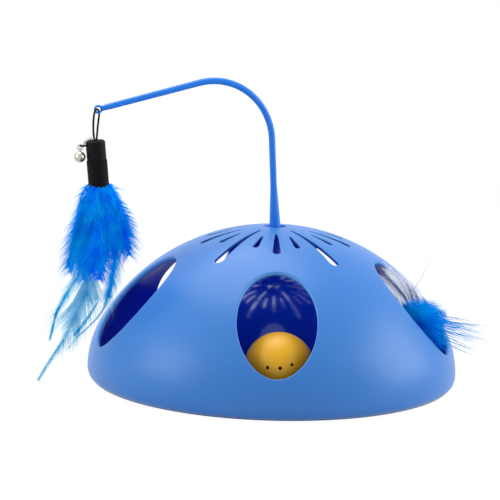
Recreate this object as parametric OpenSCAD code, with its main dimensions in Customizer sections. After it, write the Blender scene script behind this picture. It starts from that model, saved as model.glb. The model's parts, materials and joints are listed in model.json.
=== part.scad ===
// Automatic cat feather toy: a slotted dome with paw holes over a ball track,
// a driven spinner that carries a bent wand with a feather teaser, and a hidden side feather.
// Origin on the floor under the middle of the dome, +Z up, -Y to the front. Millimetres.

/* [Dome cover] */
// Widest diameter of the dome cover
dome_d = 240; // [216:1:264]
// Height of the dome cover from its bottom edge to its crown
dome_h = 99.6; // [92:0.1:110]
// Radius of the side of the dome, which runs into the crown
side_r = 58; // [52:1:64]
// Height of the widest line above the bottom edge
waist_h = 6; // [5:0.5:8]
// How far the bottom edge is drawn in from the widest line
edge_inset = 3; // [2:0.5:4]
// Wall of the dome cover
dome_wall = 3.2; // [2:0.1:3.6]
// Wall at the bottom edge
rim_wall = 2; // [1.6:0.1:2.6]
// Bore in the crown that the wand turns in
crown_bore_d = 14; // [12:0.5:18]

/* [Paw holes] */
// Number of paw holes round the dome
hole_count = 5; // [4:1:5]
// Width of a paw hole, across its cutting direction
hole_w = 48.8; // [40:0.2:54]
// Length of a paw hole, across its cutting direction
hole_l = 72.5; // [62:0.5:76]
// Slope of the direction a paw hole is cut in, from level
hole_tilt = 52; // [45:1:58]
// Height of a paw hole's middle above the dome's bottom edge
hole_h = 57.5; // [52:0.5:60]
// Turn of the front paw hole from straight ahead
hole_turn = 1.7; // [-10:0.1:10]

/* [Slots] */
// Radius where a short slot starts
short_in = 27.7; // [24:0.1:30]
// Radius where a short slot ends
short_out = 44.2; // [40:0.1:50]
// Radius where a middle slot starts
middle_in = 22.5; // [20:0.1:26]
// Radius where a middle slot ends
middle_out = 50.5; // [46:0.1:54]
// Radius where a long slot starts
long_in = 16; // [14:0.1:20]
// Radius where a long slot ends
long_out = 63.4; // [58:0.1:66]
// Width of every slot at its inner end
slot_tip_w = 1.6; // [1:0.1:2.4]
// Width of a short slot at its outer end
short_w = 4; // [3:0.1:5]
// Width of a middle slot at its outer end
middle_w = 5.2; // [4:0.1:6]
// Width of a long slot at its outer end
long_w = 6; // [5:0.1:7]

/* [Ball and track] */
// Diameter of the ball
ball_d = 43; // [36:0.5:46]
// Wall of the ball
ball_wall = 1.6; // [1:0.1:2.4]
// Groups of three holes round each half of the ball
ball_groups = 3; // [2:1:4]
// Turn from one hole of a group to the next
ball_hole_turn = 27; // [18:0.5:30]
// Diameter of a hole in the ball
ball_hole_d = 2.2; // [1.5:0.1:3]
// Place of the ball along the track, from straight ahead to the right
ball_turn = 3.2; // [-15:0.1:20]
// Radius of the circle that the ball runs on
track_r = 85; // [83:0.5:86]
// Width of the ball track
track_w = 42; // [38:0.5:43]
// Depth of the ball track
track_dip = 2.5; // [1.5:0.1:3]
// Height of the track's floor above the dome's bottom edge
track_h = 3.5; // [3:0.1:5]

/* [Base] */
// Height of the dome's bottom edge above the floor
foot_gap = 2; // [1.5:0.1:3]
// Wall of the base plate
floor_t = 3; // [2.4:0.1:3.4]
// Width of the lip inside the track
lip_w = 4; // [3:0.1:5]
// Width of the skirt under the base plate's outer edge
skirt_w = 2.4; // [2:0.1:2.6]
// Diameter of a rubber foot
foot_d = 12; // [10:0.5:14]
// Distance of the feet's middles from the base plate's edge
foot_inset = 15.7; // [14:0.1:20]
// Diameter of the posts that take screws
post_d = 7; // [6.4:0.1:7.6]
// Height of the posts under the dome
dome_post_h = 8; // [6:0.5:9]

/* [Drive] */
// Diameter of an AA cell
cell_d = 14.2; // [13.8:0.1:14.6]
// Length of an AA cell with its nub
cell_l = 50.2; // [49.5:0.1:50.6]
// Wall of the battery box
box_wall = 1.6; // [1.4:0.1:2]
// Thickness of the battery door
door_t = 2; // [1.6:0.1:2.2]
// Outer radius of the gear case
case_r = 46.5; // [45.5:0.1:47]
// Wall of the gear case
case_wall = 2; // [1.6:0.1:2.4]
// Thickness of the gear case's deck and lid
deck_t = 2; // [1.8:0.1:2.4]
// Width of the motor along its round sides
motor_w = 12; // [11:0.5:12.5]
// Width of the motor across its flats
motor_t = 10; // [9:0.5:10.5]
// Length of the motor with its end cap
motor_l = 14.5; // [13:0.5:15.5]
// Module of the gear teeth
gear_module = 0.8; // [0.78:0.01:0.82]
// Teeth of each pinion
pinion_teeth = 10; // [10:1:11]
// Teeth of each large gear
wheel_teeth = 32; // [31:1:33]
// Face width of the gears
gear_w = 4; // [3.6:0.1:4.2]
// Diameter of the output shaft
shaft_d = 5; // [4.5:0.1:5.2]
// Diameter of the gear pins
pin_d = 2; // [1.8:0.1:2.4]
// Travel of the power switch
switch_travel = 4; // [3:0.5:4.5]

/* [Spinner] */
// Outer radius of the spinner dome
spinner_r = 57.5; // [56.5:0.1:58]
// Height of the spinner's crown above the floor
spinner_h = 70.6; // [69.5:0.1:72]
// Wall of the spinner dome
spinner_wall = 2.2; // [1.8:0.1:2.6]
// Outer diameter of the wand socket on the crown
socket_d = 11; // [10.4:0.1:12]
// Height of the wand socket's mouth above the floor
socket_top = 96; // [93:0.5:97]
// Height of the side feather's socket above the floor
side_socket_h = 53; // [52:0.5:55]
// Outer diameter of the side feather's socket
side_socket_d = 9; // [8.4:0.1:10]

/* [Wand] */
// Turn of the wand's plane from straight left towards the front
wand_turn = 20; // [10:1:40]
// Lean of the wand towards its bend
wand_lean = 3.8; // [0:0.1:6]
// Height from the collar to the start of the bend
wand_rise = 59.8; // [50:0.1:80]
// Radius of the bend
bend_r = 40; // [30:0.5:45]
// Fall of the arm past the bend, from square to the upright
arm_drop = 10.4; // [6:0.1:14]
// Length of the arm from the bend to the middle of the eyelet
arm_l = 67.3; // [62:0.1:80]
// Diameter of the wand's foot
wand_foot_d = 7.6; // [6.8:0.1:8]
// Diameter of the wand along the upright and the bend
wand_d = 4.2; // [3.4:0.1:4.6]
// Diameter of the wand where it meets the eyelet
wand_tip_d = 3.8; // [3:0.1:4]
// Length of the flare above the foot
flare_l = 30; // [20:1:40]
// Outer diameter of the eyelet
eye_d = 5.6; // [5.4:0.1:6]
// Bore of the eyelet
eye_bore = 2.9; // [2.8:0.1:3.2]

/* [Teaser] */
// Diameter of the cord loop
cord_d = 1.3; // [0.9:0.1:1.4]
// Diameter of the teaser cap
cap_d = 12.2; // [11.6:0.1:13]
// Length of the teaser cap
cap_l = 12; // [11:0.5:14]
// Diameter of the teaser tube
tube_d = 12.9; // [12:0.1:14]
// Length of the teaser tube
tube_l = 17.2; // [15:0.1:20]
// Tilt of the hanging teaser towards the dome
teaser_tilt = 5.5; // [3:0.5:8]
// Greatest radius of the teaser's fluff
fluff_r = 23; // [16:0.5:25]
// Length of the teaser's fluff
fluff_l = 52; // [45:0.5:56]
// Thickness of a plume
plume_t = 1.2; // [0.8:0.1:2]
// Diameter of the bell
bell_d = 7; // [6.4:0.1:7.6]
// Wall of the bell
bell_wall = 0.5; // [0.4:0.1:0.8]

/* [Side feather] */
// Greatest radius of the side feather
side_fluff_r = 13; // [10:0.5:14]
// Radius that the side feather's tip reaches from the spin axis
side_reach = 151; // [138:1:154]
// Rise of the side feather's socket from level
side_rise = 3; // [0:0.5:6]
// How far the side feather hangs down from its socket's direction
side_droop = 11; // [0:0.5:13]

/* [Fits] */
// Gap between pieces that are put together
fit_gap = 0.3; // [0.2:0.05:0.4]
// Running gap round a shaft or a pin, on the radius
run_gap = 0.05; // [0.03:0.01:0.08]
// Gap round a pressed pin or a spigot, on the radius
press_gap = 0.02; // [0.01:0.01:0.04]
// Gap between moving pieces that pass each other
move_gap = 0.8; // [0.6:0.05:1]
// Shank diameter of the self-tapping screws
screw_d = 2.3; // [2:0.1:2.5]
// Head diameter of the screws
head_d = 4.8; // [4.4:0.1:5.2]
// Head height of the screws
head_h = 1.6; // [1.4:0.1:1.8]

/* [Hidden] */
$fn = 64;
far = 400;
skin = 0.01;
lap = 0.2;

// Dome outline
dome_r = dome_d / 2;
edge_z = foot_gap;
waist_z = edge_z + waist_h;
crown_top = edge_z + dome_h;
side_x = dome_r - side_r;
crown_drop = waist_h - dome_h;
crown_r = (side_r * side_r - side_x * side_x - crown_drop * crown_drop) / (2 * (crown_drop + side_r));
crown_z = crown_top - crown_r;
join_angle = atan2(waist_z - crown_z, side_x);
edge_r = (edge_inset * edge_inset + waist_h * waist_h) / (2 * edge_inset);
edge_angle = asin(waist_h / edge_r);
rim_in_r = dome_r - edge_inset - rim_wall;
hole_az = -90 + hole_turn;
hole_step = 360 / hole_count;

// Base, track and ball
base_r = rim_in_r - fit_gap;
floor_top = edge_z + floor_t;
track_z = edge_z + track_h;
track_in = track_r - track_w / 2;
track_out = track_r + track_w / 2;
track_arc_r = (track_w * track_w / 4 + track_dip * track_dip) / (2 * track_dip);
track_arc_a = asin(track_w / 2 / track_arc_r);
rim_z = track_z + track_dip;
lip_in = track_in - lip_w;
ball_z = track_z + fit_gap + ball_d / 2;
ball_az = -90 + ball_turn;
ball_tip = 29;
ball_hole_lat = 40;
dome_post_r = track_out + post_d / 2 - 0.2;
rib_rise = 0.9;
pad_h = 5.5;
bore_depth = 2.5;
foot_seat = 0.9;
foot_circle_r = base_r - foot_inset;
foot_pad_w = 2;
// How far a foot's pad runs up into the floor
foot_pad_rise = 0.3;

// Battery box, under the deck
cell_gap = 0.4;
spring_l = 3.5;
plate_t = 0.5;
nub_l = 1;
nub_d = 5.5;
door_lap = 1.2;
ear_w = 12;
ear_l = post_d + 1;
door_top = edge_z + door_t;
cell_z = door_top + cell_gap + cell_d / 2;
cell_pitch = cell_d + cell_gap;
cavity_x = 3 * cell_d + 4 * cell_gap;
cavity_y = cell_l + spring_l + 2 * plate_t;
cavity_top = door_top + cell_d + 2 * cell_gap;
box_x = cavity_x / 2 + box_wall;
box_y = cavity_y / 2 + box_wall;
box_top = cavity_top + box_wall;
door_post_y = box_y + post_d / 2 - 0.8;
door_post_h = 10;

// Gear case and gear train
deck_z = box_top + 0.4;
deck_top = deck_z + deck_t;
gear_gap = 0.8;
layer_one = deck_top + gear_gap;
layer_two = layer_one + gear_w + gear_gap;
layer_three = layer_two + gear_w + gear_gap;
lid_z = layer_three + gear_w + gear_gap;
lid_top = lid_z + deck_t;
lid_boss_h = 5;
centre_d = gear_module * (pinion_teeth + wheel_teeth) / 2;
motor_x = box_x + 1.3 + motor_t / 2;
idler_y = sqrt(centre_d * centre_d - pow((motor_x - centre_d) / 2, 2));
idler_two = [(motor_x - centre_d) / 2, idler_y];
idler_one = [(motor_x + centre_d) / 2, idler_y];
mesh_a = atan2(idler_y, idler_two[0]);
wheel_tip_r = gear_module * wheel_teeth / 2 + 0.6 * gear_module;
hub_r = pin_d / 2 + 1.6;
motor_shaft_d = 1.6;
end_cap_l = 2.5;
bush_r = shaft_d / 2 + 1.5;
bush_flange_r = bush_r + 1;
bush_flange_t = 0.6;
shoulder_r = shaft_d / 2 + 0.6;
case_post_r = case_r - case_wall - post_d / 2 - 0.6;
case_post_a = 55;
pad_r = case_r - case_wall - fit_gap - case_post_r;
case_screw_l = 10;
lid_post_a = [100, 205, 310];
// How far the lid posts end below the case's rim
lid_post_drop = 0.3;
// How far a lid screw bites into its post
lid_screw_bite = 6;
pin_seat = 1.4;

// Power board
board_x = -(box_x + 10.3);
board_w = 13;
board_l = 26;
board_t = 1.6;
board_z = floor_top + 5.5;
board_post_d = 5;
board_post_y = 10;
switch_w = 6;
switch_l = 9;
knob_w = 2.4;
knob_l = 3;
knob_gap = 0.15;
knob_rise = 3;

// Spinner
spinner_z = spinner_h - spinner_r;
spinner_edge = floor_top + 2;
hub_out_r = shaft_d / 2 + 3.5;
hub_z = lid_top + lid_boss_h + move_gap + 1;
shaft_top = spinner_h - 8;
socket_floor = shaft_top + 3;
plug_d = socket_d - 5;
side_az = hole_az + hole_step;
side_base_r = sqrt(spinner_r * spinner_r - pow(side_socket_h - spinner_z, 2));
side_socket_l = 13;
side_bore = side_socket_d - 3.4;
side_spigot_d = 6;
side_sleeve_out = 7;

// Wand, in the upright plane through the spin axis
collar_d = wand_foot_d + 1.8;
collar_t = 2;
wand_az = 180 + wand_turn;
turn = 90 + arm_drop;
bend_end = [bend_r - bend_r * cos(turn), wand_rise + bend_r * sin(turn)];
eye_local = bend_end + arm_l * [sin(turn), cos(turn)];
eye_r = (eye_d + eye_bore) / 4;
eye_wire_d = (eye_d - eye_bore) / 2;
lean_z = socket_top + collar_t;
eye_out = eye_local[0] * cos(wand_lean) + eye_local[1] * sin(wand_lean);
eye_z = lean_z - eye_local[0] * sin(wand_lean) + eye_local[1] * cos(wand_lean);

// Teaser, hung from the middle of the eyelet: outwards, across and up
knot_at = [1.4, 0, -22.2];
cap_over_knot = 3;
knot_r = 2.1;
knot_cup_r = knot_r + fit_gap;
cup_throat_r = 1.2;
cup_mouth_r = 4.4;
cord_route = [
    [1.75, 0.65, -20.6], [2.4, 0.8, -19.6], [3.1, 0.9, -18.4], [4, 1.2, -15], [4.4, 1.6, -11], [4.3, 1.9, -7],
    [3.8, 2, -3.4], [2.7, 1.8, -0.8], [1.2, 1.2, 0.1], [0.3, 0, -0.2], [-0.5, -1.2, -0.9], [-1.1, -1.9, -2.6],
    [-0.9, -1.9, -5.7], [-0.2, -1.5, -11], [0.2, -1.1, -15], [0.6, -0.8, -18.4], [1.05, -0.65, -20.6]
];
cord_sides = 8;
cap_round = 1.5;
groove_d = 1.2;
groove_h = 0.6;
spigot_d = 8;
spigot_l = 4;
tube_top = cap_over_knot - cap_l;
tube_bottom = tube_top - tube_l;
ferrule_wall = 1.6;
bell_eye_z = 0.3;
bell_eye_r = 2;
bell_wire_d = 0.9;
bell_eye_x = cap_d / 2 + 1.8;
bell_gap = 0.15;
link_r = 1.7;
top_eye_r = 1.1;
link_drop = link_r - bell_wire_d - bell_gap;
top_eye_drop = link_drop + link_r - bell_wire_d - bell_gap + top_eye_r;
bell_drop = top_eye_drop + top_eye_r + bell_d / 2 - 0.3;
bell_slit = 0.7;
pellet_d = 2.4;

// Plumes: start, pull and tip in the wand's plane from the knot, half width and place across
plumes = [
    [[3, -58], [22, -85], [29.6, -119.8], 5, 5],
    [[1, -42], [3.5, -108.7], [36.2, -146.2], 10, 0],
    [[-10, -61], [-10, -103.7], [19.4, -125.4], 8, -5]
];

function arc(c, r, a0, a1, n) = [for (i = [0:n]) let (a = a0 + (a1 - a0) * i / n) c + r * [cos(a), sin(a)]];
function drop_first(list) = [for (i = [1:len(list) - 1]) list[i]];
function reversed(list) = [for (i = [len(list) - 1:-1:0]) list[i]];
function polar(r, a) = [r * cos(a), r * sin(a)];
function bezier(p, t) = pow(1 - t, 2) * p[0] + 2 * t * (1 - t) * p[1] + t * t * p[2];
function unit(v) = v / norm(v);

// Radius of the dome at a height, sunk by a depth square to its outside
function dome_r_at(z, depth = 0) =
    z > crown_z + crown_r * sin(join_angle)
        ? sqrt(pow(crown_r - depth, 2) - pow(z - crown_z, 2))
        : side_x + sqrt(pow(side_r - depth, 2) - pow(z - waist_z, 2));

// Half tooth angle of an involute gear at a radius
function involute(a) = tan(a) * 180 / PI - a;
function tooth_half(teeth, r) =
    let (base = gear_module * teeth / 2 * cos(20), a = r > base ? acos(base / r) : 0)
    90 / teeth - 4 / teeth + involute(20) - involute(a);

function gear_points(teeth) =
    let (pitch = gear_module * teeth / 2, root = pitch - gear_module, tip = pitch + 0.6 * gear_module,
         base = max(pitch * cos(20), root + 0.05), radii = [root, base, pitch, tip])
    [for (i = [0:teeth - 1]) for (side = [-1, 1]) for (k = [0:3])
        let (r = radii[side < 0 ? k : 3 - k]) polar(r, 360 * i / teeth + side * tooth_half(teeth, r))];

// Rings of a tube along a route, and the tube as one closed solid
function frame_at(route, i) =
    let (n = len(route) - 1, d = unit(route[min(i + 1, n)] - route[max(i - 1, 0)]),
         u = unit(cross(d, [0.31, 0.17, 0.2] + [d[2], -d[0], d[1]])))
    [u, cross(d, u)];

module tube(route, d, sides) {
    frames = [for (i = [0:len(route) - 1]) frame_at(route, i)];
    rings = [for (i = [0:len(route) - 1]) for (s = [0:sides - 1])
        route[i] + d / 2 * (cos(360 * s / sides) * frames[i][0] + sin(360 * s / sides) * frames[i][1])];
    last = (len(route) - 1) * sides;
    walls = [for (i = [0:len(route) - 2]) for (s = [0:sides - 1])
        let (a = i * sides + s, b = i * sides + (s + 1) % sides, c = a + sides, e = b + sides)
        each [[a, c, b], [b, c, e]]];
    caps = [for (s = [1:sides - 2]) each [[0, s, s + 1], [last, last + s + 1, last + s]]];
    polyhedron(rings, concat(walls, caps));
}

module at_polar(r, a) { rotate([0, 0, a]) translate([r, 0, 0]) children(); }

module in_wand_plane() { rotate([0, 0, wand_az]) children(); }

module from_eye() { in_wand_plane() translate([eye_out, 0, eye_z]) children(); }

module from_knot() { from_eye() translate(knot_at) rotate([0, teaser_tilt, 0]) children(); }

module ring(r, wire_d) { rotate_extrude() translate([r, 0]) circle(d = wire_d); }

module pipe(r_out, r_in, h) {
    difference() {
        cylinder(h = h, r = r_out);
        translate([0, 0, -1]) cylinder(h = h + 2, r = r_in);
    }
}

// Screw with its head below z = 0 and its shank above
module screw(l) {
    translate([0, 0, -head_h]) difference() {
        cylinder(h = head_h, d = head_d);
        translate([-head_d / 3, -0.4, -skin]) cube([head_d / 1.5, 0.8, head_h / 2]);
        translate([-0.4, -head_d / 3, -skin]) cube([0.8, head_d / 1.5, head_h / 2]);
    }
    cylinder(h = l, d = screw_d);
}

module pilot(l) { translate([0, 0, -skin]) cylinder(h = l + skin, d = screw_d + 2 * press_gap); }

module gear(teeth, h) { linear_extrude(h) polygon(gear_points(teeth)); }

// Dome cover

module dome_shell() {
    outside = concat(
        arc([0, crown_z], crown_r, 90, join_angle, 16),
        drop_first(arc([side_x, waist_z], side_r, join_angle, 0, 10)),
        drop_first(arc([dome_r - edge_r, waist_z], edge_r, 0, -edge_angle, 4)));
    inside = concat(
        arc([0, crown_z], crown_r - dome_wall, 90, join_angle, 16),
        drop_first(arc([side_x, waist_z], side_r - dome_wall, join_angle, 0, 10)),
        [[rim_in_r, waist_z - (dome_r - dome_wall - rim_in_r)], [rim_in_r, edge_z]]);
    rotate([0, 0, hole_az + hole_step * 3 / 8]) rotate_extrude() polygon(concat(outside, reversed(inside)));
}

module paw_hole() {
    translate([dome_r_at(edge_z + hole_h), 0, edge_z + hole_h]) rotate([0, 90 - hole_tilt, 0])
        linear_extrude(hole_w, center = true)
            polygon([for (i = [0:35]) [hole_l / 2 * cos(10 * i), hole_w / 2 * sin(10 * i)]]);
}

// Slot with round ends of two widths, cut straight down through the crown
module slot(r_in, r_out, w_out) {
    a = slot_tip_w / 2;
    b = w_out / 2;
    slope = asin((b - a) / (r_out - b - r_in - a));
    outline = concat(
        arc([r_out - b, 0], b, -90 - slope, 90 + slope, 8),
        arc([r_in + a, 0], a, 90 + slope, 270 - slope, 4));
    translate([0, 0, crown_top / 2]) linear_extrude(crown_top) polygon(outline);
}

module dome_posts() {
    for (i = [0:hole_count - 1]) rotate([0, 0, hole_az + hole_step * (i + 0.5)]) {
        translate([dome_post_r, 0, rim_z]) cylinder(h = dome_post_h, d = post_d);
        translate([dome_post_r, -post_d / 4, rim_z + rib_rise])
            cube([dome_r_at(rim_z + dome_post_h, dome_wall / 2) - dome_post_r, post_d / 2, dome_post_h - 2 * rib_rise]);
    }
}

module dome_cover() {
    color("cornflowerblue") difference() {
        union() {
            dome_shell();
            dome_posts();
        }
        for (i = [0:hole_count - 1]) rotate([0, 0, hole_az + hole_step * i]) {
            paw_hole();
            slot(middle_in, middle_out, middle_w);
            rotate([0, 0, hole_step / 4]) slot(short_in, short_out, short_w);
            rotate([0, 0, hole_step / 2]) slot(long_in, long_out, long_w);
            rotate([0, 0, hole_step * 3 / 4]) slot(short_in, short_out, short_w);
            rotate([0, 0, hole_step / 2]) translate([dome_post_r, 0, rim_z]) pilot(dome_post_h - 1.5);
        }
        translate([0, 0, crown_top / 2]) cylinder(h = crown_top, d = crown_bore_d);
    }
}

// Base plate with the ball track and the battery box

module base_floor() {
    top = arc([track_r, track_z + track_arc_r], track_arc_r, -90 - track_arc_a, -90 + track_arc_a, 12);
    under = [for (p = top) p - [0, floor_t]];
    rotate_extrude() polygon(concat(
        [[0, edge_z], [lip_in + lip_w / 2, edge_z], [lip_in + lip_w / 2, rim_z - floor_t]],
        under,
        [[base_r - skirt_w, rim_z - floor_t], [base_r - skirt_w, edge_z], [base_r, edge_z], [base_r, rim_z]],
        reversed(top),
        [[lip_in, rim_z], [lip_in, floor_top], [0, floor_top]]));
}

module case_post_places() {
    for (a = [case_post_a, 180 - case_post_a, 180 + case_post_a, -case_post_a]) at_polar(case_post_r, a) children();
}

// Outline of the battery door, grown by a gap
module door_outline(grow) {
    half_x = cavity_x / 2 + door_lap + grow;
    half_y = cavity_y / 2 + door_lap + grow;
    translate([-half_x, -half_y]) square([2 * half_x, 2 * half_y]);
    translate([-ear_w / 2 - grow, 0]) square([ear_w + 2 * grow, door_post_y + ear_l / 2 + grow]);
}

module base_plate() {
    color("royalblue") difference() {
        union() {
            base_floor();
            translate([-box_x, -box_y, door_top]) cube([2 * box_x, 2 * box_y, box_top - door_top]);
            translate([0, door_post_y, door_top]) cylinder(h = door_post_h, d = post_d);
            case_post_places() translate([0, 0, edge_z]) cylinder(h = pad_h, r = pad_r);
            for (i = [0:hole_count - 1]) at_polar(foot_circle_r, hole_az + hole_step * i)
                translate([0, 0, edge_z]) cylinder(h = floor_t + foot_pad_rise, d = foot_d + 2 * foot_pad_w);
            for (s = [-1, 1]) translate([board_x, s * board_post_y, edge_z + floor_t / 2])
                cylinder(h = board_z - edge_z - floor_t / 2, d = board_post_d);
        }
        translate([-cavity_x / 2, -cavity_y / 2, edge_z - 1]) cube([cavity_x, cavity_y, cavity_top - edge_z + 1]);
        translate([0, 0, edge_z - 1]) linear_extrude(door_t + 1) door_outline(fit_gap);
        translate([0, door_post_y, door_top]) pilot(door_post_h - 1.5);
        case_post_places() translate([0, 0, edge_z - 1]) {
            cylinder(h = bore_depth + 1, d = head_d + 2 * fit_gap);
            cylinder(h = pad_h + 2, d = screw_d + 2 * fit_gap);
        }
        for (i = [0:hole_count - 1]) rotate([0, 0, hole_az + hole_step * i]) {
            translate([foot_circle_r, 0, edge_z - 1]) cylinder(h = foot_seat + 1, d = foot_d + 2 * press_gap);
            rotate([0, 0, hole_step / 2]) translate([dome_post_r, 0, edge_z])
                cylinder(h = rim_z, d = screw_d + 2 * fit_gap);
        }
        translate([board_x - knob_w / 2 - knob_gap, -knob_l / 2 - switch_travel / 2 - fit_gap, edge_z - 1])
            cube([knob_w + 2 * knob_gap, knob_l + switch_travel + 2 * fit_gap, floor_t + 2]);
    }
}

module battery_door() {
    color("royalblue") difference() {
        translate([0, 0, edge_z]) linear_extrude(door_t) door_outline(0);
        translate([0, door_post_y, edge_z - 1]) cylinder(h = door_t + 2, d = screw_d + 2 * fit_gap);
        translate([0, door_post_y, edge_z - 1]) cylinder(h = door_t / 2 + 1, d = head_d + 2 * fit_gap);
        for (i = [-2:2]) translate([-ear_w / 2, -cavity_y / 3 + 2.4 * i, edge_z - 1]) cube([ear_w, 1.2, 1.5]);
    }
}

module battery_door_screw() {
    color("silver") translate([0, door_post_y, edge_z + door_t / 2]) screw(door_post_h - 1.5);
}

module dome_screws() {
    color("silver") for (i = [0:hole_count - 1])
        at_polar(dome_post_r, hole_az + hole_step * (i + 0.5)) translate([0, 0, rim_z - floor_t])
            screw(floor_t + dome_post_h - 2.5);
}

module case_screws() {
    color("silver") case_post_places() translate([0, 0, edge_z + bore_depth]) screw(case_screw_l);
}

module foot(i) {
    color("dimgray") at_polar(foot_circle_r, hole_az + hole_step * i) rotate_extrude()
        polygon([[0, 0], [foot_d / 2 - 0.8, 0], [foot_d / 2, 0.8], [foot_d / 2, edge_z + foot_seat],
                 [0, edge_z + foot_seat]]);
}

module foot_front() { foot(0); }

module foot_right() { foot(1); }

module foot_back_right() { foot(2); }

module foot_back_left() { foot(3 % hole_count); }

module foot_left() { foot(hole_count - 1); }

// Cells and contacts: side is -1, 0 or 1 across, and every second cell points the other way

function cell_way(side) = side == 0 ? -1 : 1;

module in_cell(side) {
    translate([side * cell_pitch, 0, cell_z]) rotate([0, 0, side == 0 ? 180 : 0])
        translate([0, -cavity_y / 2, 0]) rotate([-90, 0, 0]) children();
}

module cell(side) {
    color("dimgray") in_cell(side) translate([0, 0, plate_t + spring_l]) {
        cylinder(h = cell_l - nub_l, d = cell_d);
        translate([0, 0, cell_l - nub_l]) cylinder(h = nub_l, d = nub_d);
    }
}

module aa_cell_left() { cell(-1); }

module aa_cell_middle() { cell(0); }

module aa_cell_right() { cell(1); }

module contact_plates() {
    color("silver") for (side = [-1, 0, 1]) for (end = [0, cavity_y - plate_t])
        in_cell(side) translate([-cell_d / 2 + 1, -cell_d / 2 + 1, end]) cube([cell_d - 2, cell_d - 2, plate_t]);
}

module contact_springs() {
    color("silver") for (side = [-1, 0, 1]) in_cell(side) translate([0, 0, plate_t]) difference() {
        cylinder(h = spring_l, d1 = cell_d - 4, d2 = nub_d);
        translate([0, 0, -skin]) cylinder(h = spring_l + 2 * skin, d1 = cell_d - 6, d2 = nub_d - 2);
    }
}

// Gear case with the motor and the gear train

module idler_places() {
    translate(idler_one) children();
    translate(idler_two) children();
}

module lid_post_places() {
    for (a = lid_post_a) at_polar(case_r - case_wall - post_d / 2 + 0.6, a) children();
}

module gear_case() {
    color("whitesmoke") difference() {
        union() {
            translate([0, 0, floor_top]) pipe(case_r, case_r - case_wall, lid_z - floor_top);
            translate([0, 0, deck_z]) cylinder(h = deck_t, r = case_r - case_wall / 2);
            case_post_places() translate([0, 0, edge_z + pad_h])
                cylinder(h = deck_z - edge_z - pad_h + deck_t / 2, d = post_d);
            lid_post_places() translate([0, 0, deck_z + deck_t / 2])
                cylinder(h = lid_z - deck_z - deck_t / 2 - lid_post_drop, d = post_d);
        }
        case_post_places() translate([0, 0, edge_z + pad_h]) pilot(case_screw_l - pad_h + bore_depth + 1);
        lid_post_places() translate([0, 0, lid_z - 8]) cylinder(h = 9, d = screw_d + 2 * press_gap);
        translate([0, 0, deck_z - 1]) cylinder(h = deck_t + 2, r = bush_r + press_gap);
        translate([motor_x, 0, deck_z - 1]) cylinder(h = deck_t + 2, d = motor_shaft_d + 2 * fit_gap);
        idler_places() translate([0, 0, deck_top - pin_seat]) cylinder(h = far, d = pin_d + 2 * press_gap);
    }
}

module gear_case_lid() {
    color("whitesmoke") difference() {
        union() {
            translate([0, 0, lid_z]) cylinder(h = deck_t, r = case_r);
            translate([0, 0, lid_z]) cylinder(h = deck_t + lid_boss_h, r = bush_r + 2);
        }
        translate([0, 0, lid_z - 1]) cylinder(h = far, r = bush_r + press_gap);
        idler_places() translate([0, 0, lid_z - 1]) cylinder(h = pin_seat + 1, d = pin_d + 2 * press_gap);
        lid_post_places() translate([0, 0, lid_z - 1]) cylinder(h = far, d = screw_d + 2 * fit_gap);
    }
}

module lid_screws() {
    color("silver") lid_post_places() translate([0, 0, lid_top]) rotate([180, 0, 0]) screw(deck_t + lid_screw_bite);
}

module bush(h) {
    bore_r = shaft_d / 2 + run_gap;
    top = h + bush_flange_t;
    rotate_extrude() polygon([[bore_r, 0], [bush_r, 0], [bush_r, h], [bush_flange_r, h], [bush_flange_r, top],
                              [bore_r, top]]);
}

module lower_bush() { color("goldenrod") translate([0, 0, deck_z]) bush(deck_t); }

module upper_bush() { color("goldenrod") translate([0, 0, lid_z]) bush(deck_t + lid_boss_h); }

module gear_pin() {
    color("silver") translate([0, 0, deck_top - pin_seat])
        cylinder(h = lid_z - deck_top + 2 * pin_seat, d = pin_d);
}

module gear_pin_one() { translate(idler_one) gear_pin(); }

module gear_pin_two() { translate(idler_two) gear_pin(); }

module motor_can() {
    color("silver") translate([motor_x, 0, deck_z - motor_l + end_cap_l]) difference() {
        intersection() {
            cylinder(h = motor_l - end_cap_l, d = motor_w);
            translate([-motor_t / 2, -motor_w, 0]) cube([motor_t, 2 * motor_w, motor_l]);
        }
        translate([0, 0, -1]) cylinder(h = motor_l, d = motor_shaft_d + 2 * run_gap);
    }
}

module motor_end_cap() {
    color("white") translate([motor_x, 0, deck_z - motor_l]) {
        intersection() {
            cylinder(h = end_cap_l, d = motor_w);
            translate([-motor_t / 2, -motor_w, 0]) cube([motor_t, 2 * motor_w, end_cap_l]);
        }
        for (s = [-1, 1]) translate([s * motor_t / 4 - 0.2, -0.8, -0.9]) cube([0.4, 1.6, 1]);
    }
}

module motor_shaft() {
    color("silver") translate([motor_x, 0, deck_z - motor_l + end_cap_l + fit_gap])
        cylinder(h = layer_one + gear_w - (deck_z - motor_l + end_cap_l + fit_gap), d = motor_shaft_d);
}

module motor_pinion() {
    color("goldenrod") translate([motor_x, 0, layer_one]) rotate([0, 0, 180 - mesh_a + 180 / pinion_teeth])
        difference() {
            gear(pinion_teeth, gear_w);
            translate([0, 0, -1]) cylinder(h = gear_w + 2, d = motor_shaft_d + 2 * press_gap);
        }
}

// Wheel and pinion moulded as one, on a hub that stands on the deck
module idler_gear(wheel_z, wheel_a, pinion_a) {
    hub_foot = deck_top + fit_gap;
    color("white") difference() {
        union() {
            translate([0, 0, wheel_z]) rotate([0, 0, wheel_a]) gear(wheel_teeth, gear_w);
            translate([0, 0, wheel_z + gear_w + gear_gap]) rotate([0, 0, pinion_a]) gear(pinion_teeth, gear_w);
            translate([0, 0, hub_foot]) cylinder(h = wheel_z + gear_w + gear_gap - hub_foot + 1, r = hub_r);
        }
        translate([0, 0, -1]) cylinder(h = far, d = pin_d + 2 * run_gap);
    }
}

module idler_gear_one() { translate(idler_one) idler_gear(layer_one, -mesh_a, 180 + 180 / pinion_teeth); }

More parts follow.
